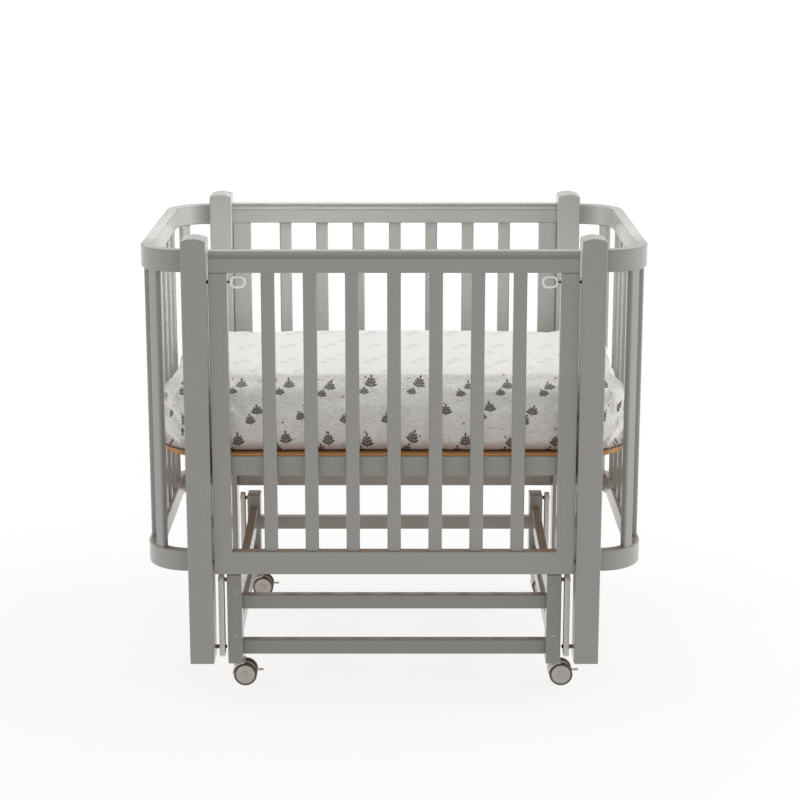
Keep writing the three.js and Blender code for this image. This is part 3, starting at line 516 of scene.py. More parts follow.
def joined(*parts):
    """Several meshes as one."""
    whole = parts[0]
    for part in parts[1:]:
        held = bpy.data.meshes.new("held")
        part.to_mesh(held)
        part.free()
        whole.from_mesh(held)
        bpy.data.meshes.remove(held)
    return whole


def carved(bm, *tools):
    """A mesh with other meshes cut out of it."""
    block = bpy.data.objects.new("block", bpy.data.meshes.new("block"))
    bm.to_mesh(block.data)
    bm.free()
    bpy.context.scene.collection.objects.link(block)
    cutters = []
    for tool in tools:
        cutter = bpy.data.objects.new("cutter", bpy.data.meshes.new("cutter"))
        tool.to_mesh(cutter.data)
        tool.free()
        bpy.context.scene.collection.objects.link(cutter)
        cut = block.modifiers.new("cut", "BOOLEAN")
        cut.operation, cut.solver, cut.object = "DIFFERENCE", "EXACT", cutter
        cutters.append(cutter)
    result = bpy.data.meshes.new_from_object(block.evaluated_get(bpy.context.evaluated_depsgraph_get()))
    bm = bmesh.new()
    bm.from_mesh(result)
    bpy.data.meshes.remove(result)
    for helper in (block, *cutters):
        mesh = helper.data
        bpy.data.objects.remove(helper)
        bpy.data.meshes.remove(mesh)
    return bm


def rod(radius, start, end, axis, steps=24):
    """A plain cylinder between two points on an axis, for bores and shafts."""
    span = (end - start)[axis]
    return turned([(0.0, 0.0), (radius, 0.0), (radius, span), (0.0, span)], start, axis, steps)


def moved(bm, offset):
    bmesh.ops.translate(bm, verts=bm.verts, vec=offset)
    return bm


def mirrored(bm, axis):
    scale = [1.0, 1.0, 1.0]
    scale[axis] = -1.0
    bmesh.ops.scale(bm, verts=bm.verts, vec=scale)
    bmesh.ops.recalc_face_normals(bm, faces=bm.faces)
    return bm


# Posts

PIN_BORE = 3.5 * MM
BORE_DEPTH = 20.3 * MM
OVERRUN = 5.0 * MM  # how far a cutting tool stands out of what it cuts
TRACK_DEPTH = 8.3 * MM
TRACK_WIDTH = 9.0 * MM
GUIDE_HEIGHT = 20 * MM  # the guide pin above its stile's lower end
SIDE_TRAVEL = 150 * MM


def build_post(name, sx, sy):
    size = sizes()
    low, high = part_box(f"post_{name}")
    half = (high.x - low.x) / 2
    middle = (high.x + low.x) / 2
    rise = size.post_arch
    radius = (half * half + rise * rise) / (2 * rise)
    spread = math.degrees(math.asin(half / radius))
    top = arc((middle, high.z - radius), radius, 90 - spread, 90 + spread, 14)
    points = [(low.x, low.z), (high.x, low.z), *top]
    bm = outline_solid([(x, low.y, z) for x, z in points], (0.0, high.y - low.y, 0.0))
    ease(bm, sharp_edges(bm, 25), size.post_edge, 4)
    inner = -sx * half + middle
    pin = centre_of(f"lower_link_pin_{name}")
    start = Vector((inner - sx * OVERRUN, pin.y, pin.z))
    tools = [rod(PIN_BORE, start, Vector((inner + sx * BORE_DEPTH, pin.y, pin.z)), X)]
    if sy < 0:
        tools.append(pin_track(sx, inner))
    finish_piece(f"post_{name}", carved(bm, *tools), "paint_z", [f"post_{name}"])


def pin_track(sx, inner):
    """The groove that the drop side's guide and release pins run in."""
    middle = centre_of("drop_side_stile_left").y
    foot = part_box("drop_side_stile_left")[0].z + GUIDE_HEIGHT - SIDE_TRAVEL - 10 * MM
    head = centre_of("release_pin_left").z + 9.5 * MM
    start = Vector((inner - sx * OVERRUN, middle - TRACK_WIDTH / 2, foot))
    return board(start, Vector((inner + sx * TRACK_DEPTH, middle + TRACK_WIDTH / 2, head)), 1.0 * MM, X, 3)


class CRIB_OT_posts(bpy.types.Operator):
    """Builds the four posts with their arched tops, pin bores and tracks"""
    bl_idname = "crib.posts"
    bl_label = "Posts"

    def execute(self, context):
        for name, sx, sy in CORNERS:
            build_post(name, sx, sy)
        return {"FINISHED"}


# Panels

ARRIS = 0.4 * MM  # small chamfer along the rail's upper edge
LIP = 1.5 * MM  # flat above the cove
FLAT = 1.6 * MM  # flat between the cove and the groove


def moulded_side(half, top):
    """One side of the top rail's section: a cove and a fine groove under its upper edge."""
    size = sizes()
    steps = 10
    points = [(half - ARRIS, top), (half, top - ARRIS), (half, top - LIP)]
    for i in range(1, steps):
        turn = math.pi * i / steps
        fall = size.cove_height * (1 - math.cos(turn)) / 2
        points.append((half - size.cove_depth * math.sin(turn), top - LIP - fall))
    under = top - LIP - size.cove_height
    groove = [(0.0, 0.0), (1.0, 0.3), (1.4, 0.7), (1.0, 1.1), (0.0, 1.4)]
    return [*points, (half, under), *((half - into, under - FLAT - down) for into, down in in_mm(groove))]


def top_rail(low, high):
    edge = sizes().rail_edge
    middle, half = (low.y + high.y) / 2, (high.y - low.y) / 2
    down = moulded_side(half, high.z)
    down += [(y + half, low.z + z) for y, z in reversed(arc((-edge, edge), edge, -90, 0, 4))]
    outline = [(middle + y, z) for y, z in down] + [(middle - y, z) for y, z in reversed(down)]
    return outline_solid([(low.x, y, z) for y, z in outline], (high.x - low.x, 0.0, 0.0))


def slat(low, high):
    """A panel slat: rounded along its length, let into the rails a little at its ends."""
    return board(low, high, sizes().slat_edge, Z, 5)


PANEL_SLATS = 7
SLAT_TENON = corner(0, 0, 2)  # how far a slat runs on into each rail
RELEASE_BORE = 3.8 * MM


class CRIB_OT_drop_side(bpy.types.Operator):
    """Builds the drop side: rails, stiles with guide pins, and slats"""
    bl_idname = "crib.drop_side"
    bl_label = "Drop side"

    def execute(self, context):
        edge = sizes().rail_edge
        bm = top_rail(*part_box("drop_side_top_rail"))
        finish_piece("drop_side_top_rail", bm, "paint_x", ["drop_side_top_rail"])
        low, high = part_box("drop_side_bottom_rail")
        reach = Vector((edge, 0.0, 0.0))
        bm = board(low - reach, high + reach, edge, X)
        finish_piece("drop_side_bottom_rail", bm, "paint_x", ["drop_side_bottom_rail"])
        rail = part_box("drop_side_top_rail")
        for side, sx in SIDES:
            node = f"drop_side_stile_{side}"
            low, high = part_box(node)
            out = rail[1].x if sx > 0 else rail[0].x
            tip = high.x if sx > 0 else low.x
            inner = low.x if sx > 0 else high.x
            bm = board(Vector((inner, low.y, low.z)), Vector((out, high.y, high.z)), edge)
            middle = (low.y + high.y) / 2
            bore_z = centre_of(f"release_pin_{side}").z
            start = Vector((inner - sx * OVERRUN, middle, bore_z))
            bm = carved(bm, rod(RELEASE_BORE, start, Vector((out + sx * OVERRUN, middle, bore_z)), X))
            finish_piece(node, bm, "paint_z", [node])
            axis = Vector((out - sx * 4 * MM, middle, low.z + GUIDE_HEIGHT))
            end = abs(tip - axis.x) / MM
            profile = in_mm([(0, 0), (4, 0), (4, end - 1), (3, end), (0, end)], sx)
            finish_piece(f"guide_pin_{side}", turned(profile, axis, X), "paint_x", [node])
        for i in range(1, PANEL_SLATS + 1):
            node = f"drop_side_slat_{i}"
            low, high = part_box(node)
            finish_piece(node, slat(low - SLAT_TENON, high + SLAT_TENON), "paint_z", [node])
        return {"FINISHED"}


class CRIB_OT_rear_panel(bpy.types.Operator):
    """Builds the fixed rear panel: rails, stiles and slats, as on the drop side"""
    bl_idname = "crib.rear_panel"
    bl_label = "Rear panel"

    def execute(self, context):
        edge = sizes().rail_edge
        low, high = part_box("rear_panel")
        front_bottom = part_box("drop_side_bottom_rail")[1]
        stile_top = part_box("drop_side_stile_left")[1].z
        stands = ["rear_panel"]
        bm = top_rail(Vector((low.x, low.y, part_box("drop_side_top_rail")[0].z)), high)
        finish_piece("rear_top_rail", bm, "paint_x", stands)
        inner = front_bottom.x
        reach = inner + 2 * MM
        bm = board(Vector((-reach, low.y, low.z)), Vector((reach, high.y, front_bottom.z)), edge, X)
        finish_piece("rear_bottom_rail", bm, "paint_x", stands)
        for side, sx in SIDES:
            out = high.x if sx > 0 else low.x
            bm = board(Vector((sx * inner, low.y, low.z)), Vector((out, high.y, stile_top)), edge)
            finish_piece(f"rear_stile_{side}", bm, "paint_z", stands)
        for i in range(1, PANEL_SLATS + 1):
            front_low, front_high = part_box(f"drop_side_slat_{i}")
            bm = mirrored(slat(front_low - SLAT_TENON, front_high + SLAT_TENON), Y)
            finish_piece(f"rear_slat_{i}", bm, "paint_z", stands)
        return {"FINISHED"}


# Bent ends

def swept_rail(out_x, out_y, start_x, low_z, high_z, thick):
    """A bent rail of the right-hand end: a rounded section led round two corners."""
    size = sizes()
    radius, edge = size.bent_radius, size.bent_edge
    bm = bmesh.new()
    half = (thick / 2 - edge, (high_z - low_z) / 2 - edge)
    middle = (-out_y + thick / 2, (low_z + high_z) / 2)
    corners = [(half[0], half[1], 0), (-half[0], half[1], 90), (-half[0], -half[1], 180), (half[0], -half[1], 270)]
    loop = [p for y, z, turn in corners for p in arc((middle[0] + y, middle[1] + z), edge, turn, turn + 90, 4)]
    verts = [bm.verts.new((start_x, y, z)) for y, z in loop]
    bm.faces.new(verts)
    edges = [bm.edges.get(pair) for pair in zip(verts, verts[1:] + verts[:1])]
    centre_x, centre_y = out_x - radius, out_y - radius
    upright = (0.0, 0.0, 1.0)
    edges = drawn_out(bm, edges, (centre_x - start_x, 0.0, 0.0))
    edges = bent_round(bm, edges, (centre_x, -centre_y, 0.0), upright, 18)
    edges = drawn_out(bm, edges, (0.0, 2 * centre_y, 0.0))
    edges = bent_round(bm, edges, (centre_x, centre_y, 0.0), upright, 18)
    edges = drawn_out(bm, edges, (start_x - centre_x, 0.0, 0.0))
    bmesh.ops.edgeloop_fill(bm, edges=edges)
    bmesh.ops.recalc_face_normals(bm, faces=bm.faces)
    return bm


END_GAP = 1.2 * MM  # fine gap between a bent rail and its post


class CRIB_OT_bent_ends(bpy.types.Operator):
    """Builds both bent ends: two bent rails and eight slats each"""
    bl_idname = "crib.bent_ends"
    bl_label = "Bent ends"

    def execute(self, context):
        low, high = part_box("bent_end_right")
        thick, upper, lower = 20 * MM, 41 * MM, 40 * MM
        radius = sizes().bent_radius
        pitch, width, depth = 71.5 * MM, 23 * MM, 13 * MM
        slat_low, slat_high = low.z + lower - 2 * MM, high.z - upper + 2 * MM
        for side, sx in SIDES:
            stands = [f"bent_end_{side}"]
            for level, bottom, top in (("lower", low.z, low.z + lower), ("upper", high.z - upper, high.z)):
                bm = swept_rail(high.x, high.y, low.x + END_GAP, bottom, top, thick)
                if sx < 0:
                    mirrored(bm, X)
                finish_piece(f"bent_rail_{side}_{level}", bm, "paint_bent", stands)
            centre_x = high.x - thick / 2
            for i in range(6):
                y = (i - 2.5) * pitch
                start = Vector((centre_x - depth / 2, y - width / 2, slat_low))
                bm = slat(start, Vector((centre_x + depth / 2, y + width / 2, slat_high)))
                if sx < 0:
                    mirrored(bm, X)
                finish_piece(f"end_slat_{side}_{i + 1}", bm, "paint_z", stands)
            reach = radius - thick / 2
            for end, sy in ENDS:
                start = Vector((reach - depth / 2, -width / 2, slat_low))
                bm = slat(start, Vector((reach + depth / 2, width / 2, slat_high)))
                turn = math.atan2(sy, sx)
                bmesh.ops.rotate(bm, verts=bm.verts, cent=(0, 0, 0), matrix=Matrix.Rotation(turn, 3, "Z"))
                moved(bm, (sx * (high.x - radius), sy * (high.y - radius), 0.0))
                finish_piece(f"corner_slat_{side}_{end}", bm, "paint_z", stands)
        return {"FINISHED"}


# Deck and bearers

EDGING = 1.6 * MM  # height of the birch strip on top of a bearer's lip
EDGING_SET_BACK = 8 * MM  # of the strip's face behind the bearer's
LIP_WIDTH = 22 * MM
LEDGE_DROP = 9 * MM  # from the lip to the ledge that the deck lies on


class CRIB_OT_deck(bpy.types.Operator):
    """Builds the plywood deck and its two bearers"""
    bl_idname = "crib.deck"
    bl_label = "Deck and bearers"

    def execute(self, context):
        low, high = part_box("deck")
        radius = sizes().deck_radius
        corners = [
            (high.x - radius, high.y - radius, 0), (low.x + radius, high.y - radius, 90),
            (low.x + radius, low.y + radius, 180), (high.x - radius, low.y + radius, 270),
        ]
        plan = [p for x, y, turn in corners for p in arc((x, y), radius, turn, turn + 90, 20)]
        bm = outline_solid([(x, y, low.z) for x, y in plan], (0.0, 0.0, high.z - low.z))
        ease(bm, sharp_edges(bm, 40), 1.0 * MM, 3)
        finish_piece("deck", bm, "birch_ply", ["deck"])
        for end, sy in ENDS:
            node = f"deck_bearer_{end}"
            low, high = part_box(node)
            out, inner = (low.y, high.y) if sy < 0 else (high.y, low.y)
            ledge = high.z - LEDGE_DROP
            step = out - sy * LIP_WIDTH
            lip = high.z - EDGING
            points = [(out, low.z), (out, lip), (step, lip), (step, ledge), (inner, ledge), (inner, low.z)]
            bm = outline_solid([(low.x, y, z) for y, z in points], (high.x - low.x, 0.0, 0.0))
            ease(bm, along(sharp_edges(bm), X), 0.8 * MM)
            finish_piece(node, bm, "paint_x", [node])
            face = out - sy * EDGING_SET_BACK
            bm = board(Vector((low.x, face, lip)), Vector((high.x, step, high.z)), 0.5 * MM, X)
            finish_piece(f"deck_edging_{end}", bm, "birch_ply", [], BODY_OF[node])
        return {"FINISHED"}


# Mattress

CORNER_SHARE = 0.297  # the mattress's corner radius in plan, as a share of its half width
SLACK = 3.5 * MM  # how much smaller the cover starts than it may get
SLACK_GROWS = 0.25  # share of its height in which the slack grows to that
SEAT = 4 * MM  # height that the cloth simulation leaves in its place
FOLD_LINE = 15 * MM  # where the sides fold out in the UV map, below the top
CLOTH_STEPS = 20


def rim(co, high):
    """The way out of the mattress at a point, and how near its outline is: 1 on it, 0 well inside."""
    radius = CORNER_SHARE * high.y
    inner = Vector((high.x - radius, high.y - radius))
    away = Vector((co.x - max(-inner.x, min(inner.x, co.x)), co.y - max(-inner.y, min(inner.y, co.y))))
    if away.length < radius * 0.5:
        return Vector((0.0, 0.0)), 0.0
    return away.normalized(), min(1.0, away.length / (radius * 0.8))


def unfolded(mesh, high, top):
    """Writes a UV map in metres: the plan, with the sides folded out from the upper edge."""
    layer = mesh.uv_layers.new(name="cover")
    spots = []
    for vertex in mesh.vertices:
        out, near = rim(vertex.co, high)
        spots.append(Vector((vertex.co.x + 0.5, vertex.co.y + 0.5)) + out * near * max(0.0, top - vertex.co.z))
    for loop in mesh.loops:
        layer.data[loop.index].uv = spots[loop.vertex_index]


def seated(mesh, low, high):
    """Presses the cover's lower edge down and out on the deck, and keeps the cover in its room."""
    size = sizes()
    hem = size.mattress_hem
    for vertex in mesh.vertices:
        rise = max(0.0, vertex.co.z - low.z)
        out, near = rim(vertex.co, high)
        step = size.mattress_foot * near * max(0.0, 1 - rise / (3 * hem)) ** 2
        vertex.co.x = max(low.x, min(high.x, vertex.co.x + out.x * step))
        vertex.co.y = max(low.y, min(high.y, vertex.co.y + out.y * step))
        vertex.co.z = low.z + (rise * rise / hem if rise < hem else rise)


def blown_up(piece, swell):
    """Blows the cover up with a short cloth simulation and writes the result into the mesh."""
    before = [v.co.copy() for v in piece.data.vertices]
    floor = min(place.z for place in before)
    seat = piece.vertex_groups.new(name="seat")
    seat.add([i for i, place in enumerate(before) if place.z < floor + SEAT], 1.0, "REPLACE")
    cloth = piece.modifiers.new("Cloth", "CLOTH")
    settings = cloth.settings
    settings.use_pressure = True
    settings.uniform_pressure_force = 3.0
    settings.effector_weights.gravity = 0.0
    settings.quality = 6
    settings.mass = 0.3
    settings.tension_stiffness = settings.compression_stiffness = 12.0
    settings.shear_stiffness = 4.0
    settings.bending_stiffness = 0.3
    settings.shrink_min = -0.03
    settings.vertex_group_mass = seat.name
    cloth.collision_settings.use_collision = False
    cloth.point_cache.frame_start, cloth.point_cache.frame_end = 1, CLOTH_STEPS
    scene = bpy.context.scene
    for step in range(1, CLOTH_STEPS + 1):
        scene.frame_set(step)
    graph = bpy.context.evaluated_depsgraph_get()
    after = [v.co.copy() for v in piece.evaluated_get(graph).data.vertices]
    piece.modifiers.remove(cloth)
    piece.vertex_groups.clear()
    scene.frame_set(1)
    for vertex, old, new in zip(piece.data.vertices, before, after):
        way = new - old
        if way.length > swell:
            way *= swell / way.length
        vertex.co = old + way


class CRIB_OT_mattress(bpy.types.Operator):
    """Builds the mattress: a blown-up cover in printed jersey"""
    bl_idname = "crib.mattress"
    bl_label = "Mattress"

    def execute(self, context):
        size = sizes()
        low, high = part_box("mattress")
        bm = bmesh.new()
        bm.from_mesh(frame["nodes"]["mattress"].data)
        bmesh.ops.remove_doubles(bm, verts=bm.verts, dist=1e-5)
        tall = high.z - low.z
        for vertex in bm.verts:
            slack = SLACK * min(1.0, (vertex.co.z - low.z) / (SLACK_GROWS * tall))
            vertex.co.x *= 1 - slack / high.x
            vertex.co.y *= 1 - slack / high.y
            vertex.co.z -= slack * (vertex.co.z - low.z) / tall
        mesh = bpy.data.meshes.new("mattress_cover")
        bm.to_mesh(mesh)
        bm.free()
        piece = bpy.data.objects.new("mattress_cover", mesh)
        bpy.context.scene.collection.objects.link(piece)
        remesh = piece.modifiers.new("Remesh", "REMESH")
        remesh.mode, remesh.voxel_size = "VOXEL", size.mattress_voxel
        graph = bpy.context.evaluated_depsgraph_get()
        fine = bpy.data.meshes.new_from_object(piece.evaluated_get(graph))
        piece.modifiers.clear()
        piece.data = fine
        fine.name = "mattress_cover"
        bpy.data.meshes.remove(mesh)
        blown_up(piece, size.mattress_swell)
        seated(fine, low, high)
        unfolded(fine, high, high.z - FOLD_LINE)
        fine.shade_smooth()
        fine.materials.clear()
        fine.materials.append(bpy.data.materials["mattress_cloth"])
        smooth = piece.modifiers.new("Smooth cover", "SUBSURF")
        smooth.levels = smooth.render_levels = 1
        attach(piece, BODY_OF["mattress"])
        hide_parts("mattress")
        return {"FINISHED"}


# Under-frame

STEM_BORE = 4.3 * MM
STEM_BORE_DEPTH = 25.3 * MM
BOLT_HEIGHTS = (0.193, 0.105)


def bolt_head(centre, sy):
    """A low round bolt head with a small socket, on a leg's outer face."""
    profile = [
        (0.0, 0.2), (1.3, 0.2), (1.4, 0.9), (2.3, 0.85), (2.75, 0.55), (2.9, 0.15), (2.9, -1.0), (0.0, -1.0),
    ]
    return turned(in_mm(profile, sy), centre, Y, 28)


class CRIB_OT_under_frame(bpy.types.Operator):
    """Builds the under-frame: legs with bolt heads, rails and side bars"""
    bl_idname = "crib.under_frame"
    bl_label = "Under-frame"

    def execute(self, context):
        edge = sizes().rail_edge
        for name, sx, sy in CORNERS:
            node = f"leg_{name}"
            low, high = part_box(node)
            bm = board(low, high, edge)
            pin = centre_of(f"upper_link_pin_{name}")
            outer = high.x if sx > 0 else low.x
            pin_start = Vector((outer + sx * OVERRUN, pin.y, pin.z))
            pin_bore = rod(PIN_BORE, pin_start, Vector((outer - sx * BORE_DEPTH, pin.y, pin.z)), X)
            stem = Vector(((low.x + high.x) / 2, centre_of(f"caster_wheels_{name}").y, low.z - OVERRUN))
            stem_bore = rod(STEM_BORE, stem, stem + Vector((0, 0, OVERRUN + STEM_BORE_DEPTH)), Z)
            finish_piece(node, carved(bm, pin_bore, stem_bore), "frame_paint_z", [node])
            face = low.y if sy < 0 else high.y
            heads = [bolt_head(Vector(((low.x + high.x) / 2, face, z)), sy) for z in BOLT_HEIGHTS]
            finish_piece(f"bolt_heads_{name}", joined(*heads), "bolt_metal", [], BODY_OF[node])
        for end, _ in ENDS:
            for level in ("upper", "lower"):
                node = f"frame_rail_{end}_{level}"
                finish_piece(node, board(*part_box(node), edge, X), "frame_paint_x", [node])
        for side, _ in SIDES:
            node = f"side_bar_{side}_lower"
            finish_piece(node, board(*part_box(node), edge, Y), "frame_paint_y", [node])
            build_sagged_bar(f"side_bar_{side}_upper")
        return {"FINISHED"}


def build_sagged_bar(node):
    """The upper side bar, whose two edges hang in a shallow arc."""
    low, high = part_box(node)
    sag, height = 15 * MM, 34 * MM
    half = high.y
    radius = (half * half + sag * sag) / (2 * sag)
    spread = math.degrees(math.asin(half / radius))
    ends = high.z - height
    lower = arc((0.0, ends - sag + radius), radius, -90 - spread, -90 + spread, 28)
    upper = [(y, z + height) for y, z in reversed(lower)]
    bm = outline_solid([(low.x, y, z) for y, z in lower + upper], (high.x - low.x, 0.0, 0.0))
    ease(bm, sharp_edges(bm, 40), sizes().rail_edge)
    finish_piece(node, bm, "frame_paint_y", [node])


# Links and their pins

PIN_RADIUS = 3.2 * MM
PIN_SEAT = 20 * MM  # length of a pin inside the wood
HEAD_OUTLINES = {
    "upper": [(0.0, 0.8), (1.5, 0.8), (1.7, 1.0), (3.9, 0.95), (4.4, 0.7), (4.6, 0.3), (4.6, 0.0), (0.0, 0.0)],
    "lower": [
        (0.0, 3.4), (1.2, 3.3), (2.4, 2.9), (3.3, 2.2), (3.75, 1.4), (3.85, 0.8), (4.5, 0.7), (4.6, 0.5),
        (4.6, 0.0), (0.0, 0.0),
    ],
}


def build_pin(level, name, link, outward):
    """A pin through a link: its head on one side, its collar on the other, its shaft into the wood."""
    node = f"{level}_link_pin_{name}"
    low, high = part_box(node)
    link_low, link_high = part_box(link)
    axis_y, axis_z = (low.y + high.y) / 2, (low.z + high.z) / 2
    gap = 0.3 * MM
    near, far = (link_low.x, link_high.x) if outward > 0 else (link_high.x, link_low.x)
    head_at = Vector((near - outward * gap, axis_y, axis_z))
    head = turned(in_mm(HEAD_OUTLINES[level], -outward), head_at, X)
    finish_piece(f"{level}_pin_head_{name}", head, "pin_black" if level == "lower" else "pin_steel", [node])
    tip = high.x if outward > 0 else low.x
    seat = tip - outward * PIN_SEAT
    start = far + outward * gap
    span = abs(seat - gap * outward - start) / MM
    ring = [(0.0, 0.0), (3.6, 0.0), (3.9, 0.3), (3.9, span - 0.3), (3.6, span), (0.0, span)]
    collar = turned(in_mm(ring, outward), Vector((start, axis_y, axis_z)), X)
    shaft = rod(PIN_RADIUS, head_at, Vector((tip, axis_y, axis_z)), X, 32)
    finish_piece(node, joined(collar, shaft), "pin_steel", [node])


class CRIB_OT_links(bpy.types.Operator):
    """Builds the four pendulum links with their upper and lower pins"""
    bl_idname = "crib.links"
    bl_label = "Links and pins"

    def execute(self, context):
        for name, sx, _ in CORNERS:
            node = f"link_{name}"
            low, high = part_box(node)
            radius = (high.y - low.y) / 2
            middle = (low.y + high.y) / 2
            bend = 5 * MM
            ends = arc((low.y + bend, low.z + bend), bend, 180, 270, 6)
            ends += arc((high.y - bend, low.z + bend), bend, 270, 360, 6)
            ends += arc((middle, high.z - radius), radius, 0, 180, 20)
            heights = [centre_of(f"{level}_link_pin_{name}").z for level in ("lower", "upper")]
            bm = outline_solid([(low.x, y, z) for y, z in ends], (high.x - low.x, 0.0, 0.0))
            ease(bm, sharp_edges(bm, 40), sizes().rail_edge)
            bores = [
                rod(PIN_BORE, Vector((low.x - OVERRUN, middle, z)), Vector((high.x + OVERRUN, middle, z)), X, 32)
                for z in heights
            ]
            finish_piece(node, carved(bm, *bores), "link_paint", [node])
            build_pin("upper", name, node, -sx)
            build_pin("lower", name, node, sx)
        return {"FINISHED"}


# Release pins

RING_WIDTH = 29.5 * MM
RING_WIRE = 3.9 * MM
RING_BEND = 10.5 * MM


def pull_ring(centre, width, height, wire, radius):
    """A round wire led round a rounded rectangle in the X-Z plane."""
    bm = bmesh.new()
    x, z = width / 2 - wire / 2, height / 2 - wire / 2
    bend = radius - wire / 2
    corner_at = centre + Vector((bend - x, 0, z))
    section = arc((0, 0), wire / 2, 0, 330, 11)
    loop = [bm.verts.new(corner_at + Vector((0, dy, dz))) for dy, dz in section]
    edges = [bm.edges.new(pair) for pair in zip(loop, loop[1:] + loop[:1])]
    runs = [
        ((2 * (x - bend), 0, 0), (x - bend, z - bend)), ((0, 0, -2 * (z - bend)), (x - bend, -z + bend)),
        ((-2 * (x - bend), 0, 0), (-x + bend, -z + bend)), ((0, 0, 2 * (z - bend)), (-x + bend, z - bend)),
    ]
    for vec, (cx, cz) in runs:
        edges = drawn_out(bm, edges, vec)
        edges = bent_round(bm, edges, centre + Vector((cx, 0, cz)), (0.0, 1.0, 0.0), 8)
    bmesh.ops.remove_doubles(bm, verts=bm.verts, dist=1e-5)
    return bm


class CRIB_OT_release_pins(bpy.types.Operator):
    """Builds the two release pins with their white pull rings"""
    bl_idname = "crib.release_pins"
    bl_label = "Release pins"

    def execute(self, context):
        for side, sx in SIDES:
            node = f"release_pin_{side}"
            low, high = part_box(node)
            middle_y, middle_z = (low.y + high.y) / 2, (low.z + high.z) / 2
            tip, back = (high.x, low.x) if sx > 0 else (low.x, high.x)
            centre = Vector((back + sx * RING_WIDTH / 2, middle_y, middle_z))
            ring = pull_ring(centre, RING_WIDTH, high.z - low.z, RING_WIRE, RING_BEND)
            shoulder = [(0, -1.5), (2.0, -1.5), (2.3, -1.1), (2.3, 0.5), (1.9, 0.9), (0, 0.9)]
            at = Vector((back + sx * (RING_WIDTH - 1.5 * MM), middle_y, middle_z))
            neck = turned(in_mm(shoulder, sx), at, X, 28)
            finish_piece(f"pull_ring_{side}", joined(ring, neck), "ring_white", [node])
            start = at + Vector((sx * 0.9 * MM, 0, 0))
            span = abs(tip - start.x) / MM
            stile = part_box(f"drop_side_stile_{side}")
            bare = abs((stile[0].x if sx > 0 else stile[1].x) - start.x) / MM + 2
            profile = [
                (0, 0), (1.8, 0), (1.8, bare), (3.5, bare), (3.5, bare + 8), (2.7, bare + 9),
                (2.7, span - 1), (2.0, span), (0, span),
            ]
            pin = turned(in_mm(profile, sx), start, X, 28)
            finish_piece(f"release_pin_{side}", pin, "pin_black", [node])
        return {"FINISHED"}


# Casters

def wheel_parts(axle, outward):
    """One wheel of a pair: its tyre and its hub disc with a raised ring, outer face towards outward."""
    tyre = [
        (18.6, 5.4), (19.6, 5.2), (20.6, 5.5), (21.5, 6.3), (22.0, 7.6), (22.0, 15.4), (21.5, 16.8), (20.5, 17.7),
        (19.4, 18.0), (18.7, 17.7), (18.5, 17.2), (18.5, 5.8), (18.6, 5.4),
    ]
    hub = [
        (2.5, 5.2), (17.4, 5.2), (18.5, 5.8), (18.5, 16.7), (17.6, 17.3), (16.6, 17.0), (15.8, 16.5), (8.2, 16.3),
        (7.4, 16.6), (7.0, 17.3), (6.2, 17.5), (5.4, 17.3), (5.0, 16.6), (4.2, 16.4), (3.6, 17.0), (2.4, 17.6),
        (0.0, 17.8),
    ]
    shaft = [(0.0, 0.0), (2.5, 0.0), (2.5, 5.2)]
    return [turned(in_mm(outline, outward), axle, Y, 48) for outline in (tyre, shaft + hub)]


HOOD_OUTER, HOOD_INNER = 24.6 * MM, 23.0 * MM  # radii of the hood over the wheels
HOOD_WIDTH = 36 * MM
WEB_HALF = 3.7  # half the thickness of the web between the wheels, in millimetres
LEVER_PIVOT = corner(12, 0, 4)  # from the axle


def web_disc(centre, radius, chamfer, steps):
    """A disc as thick as the web, with its two edges chamfered."""
    inner, low = radius - chamfer, WEB_HALF - chamfer
    profile = [(0, -WEB_HALF), (inner, -WEB_HALF), (radius, -low), (radius, low), (inner, WEB_HALF), (0, WEB_HALF)]
    return turned(in_mm(profile), centre, Y, steps)


def caster_housing(stem, axle, top):
    """The hood over the wheels, the web and rib between them, the neck, the flange and the stem."""
    at = (axle.x, axle.z)
    across = corner(0, 20, 0)
    hood_points = arc(at, HOOD_OUTER, 92, 178, 20) + arc(at, HOOD_INNER, 178, 92, 20)
    hood = outline_solid([(x, axle.y - HOOD_WIDTH / 2, z) for x, z in hood_points], (0.0, HOOD_WIDTH, 0.0))
    ease(hood, sharp_edges(hood, 40), 0.5 * MM, 2)
    rib_points = arc(at, 16 * MM, 180, 90, 16) + arc(at, 23.6 * MM, 90, 180, 16)
    rib = outline_solid([(x, axle.y - WEB_HALF * MM, z) for x, z in rib_points], (0.0, 2 * WEB_HALF * MM, 0.0))
    pivot = axle + LEVER_PIVOT
    lever_room = board(pivot + corner(0, -8, -9), pivot + corner(20, 8, 2.3), 0.4 * MM)
    lever_seat = rod(3.9 * MM, pivot - corner(0, 8, 0), pivot + corner(0, 8, 0), Y, 32)
    bore = rod(2.8 * MM, axle - across, axle + across, Y, 32)
    web = carved(web_disc(axle, 19.5, 0.6, 48), lever_room, lever_seat, bore)
    stem_top = top / MM
    profile = [
        (0, 38.5), (8.5, 38.5), (8.5, 44.6), (9.0, 45.6), (10.2, 46.1), (10.8, 46.5), (11, 47.0), (11, 48.3),
        (10.6, 48.7), (4, 48.7), (4, stem_top - 1), (3, stem_top), (0, stem_top),
    ]
    neck = turned(in_mm(profile), Vector((stem.x, stem.y, 0.0)), Z, 40)
    neck = carved(neck, rod(HOOD_INNER, axle - across, axle + across, Y, 64))
    return joined(hood, web, rib, neck)


def brake_lever(pivot):
    """A small lever between the wheels with a slim pedal that stands out behind them."""
    boss = web_disc(pivot, 3.6, 0.3, 28)
    arm = board(pivot + corner(1, -2.6, -1.2), pivot + corner(15, 2.6, 1.2), 0.6 * MM)
    pedal = board(pivot + corner(13.5, -3.4, -1.6), pivot + corner(22, 3.4, 1.6), 1.2 * MM, None, 4)
    return joined(boss, arm, pedal)


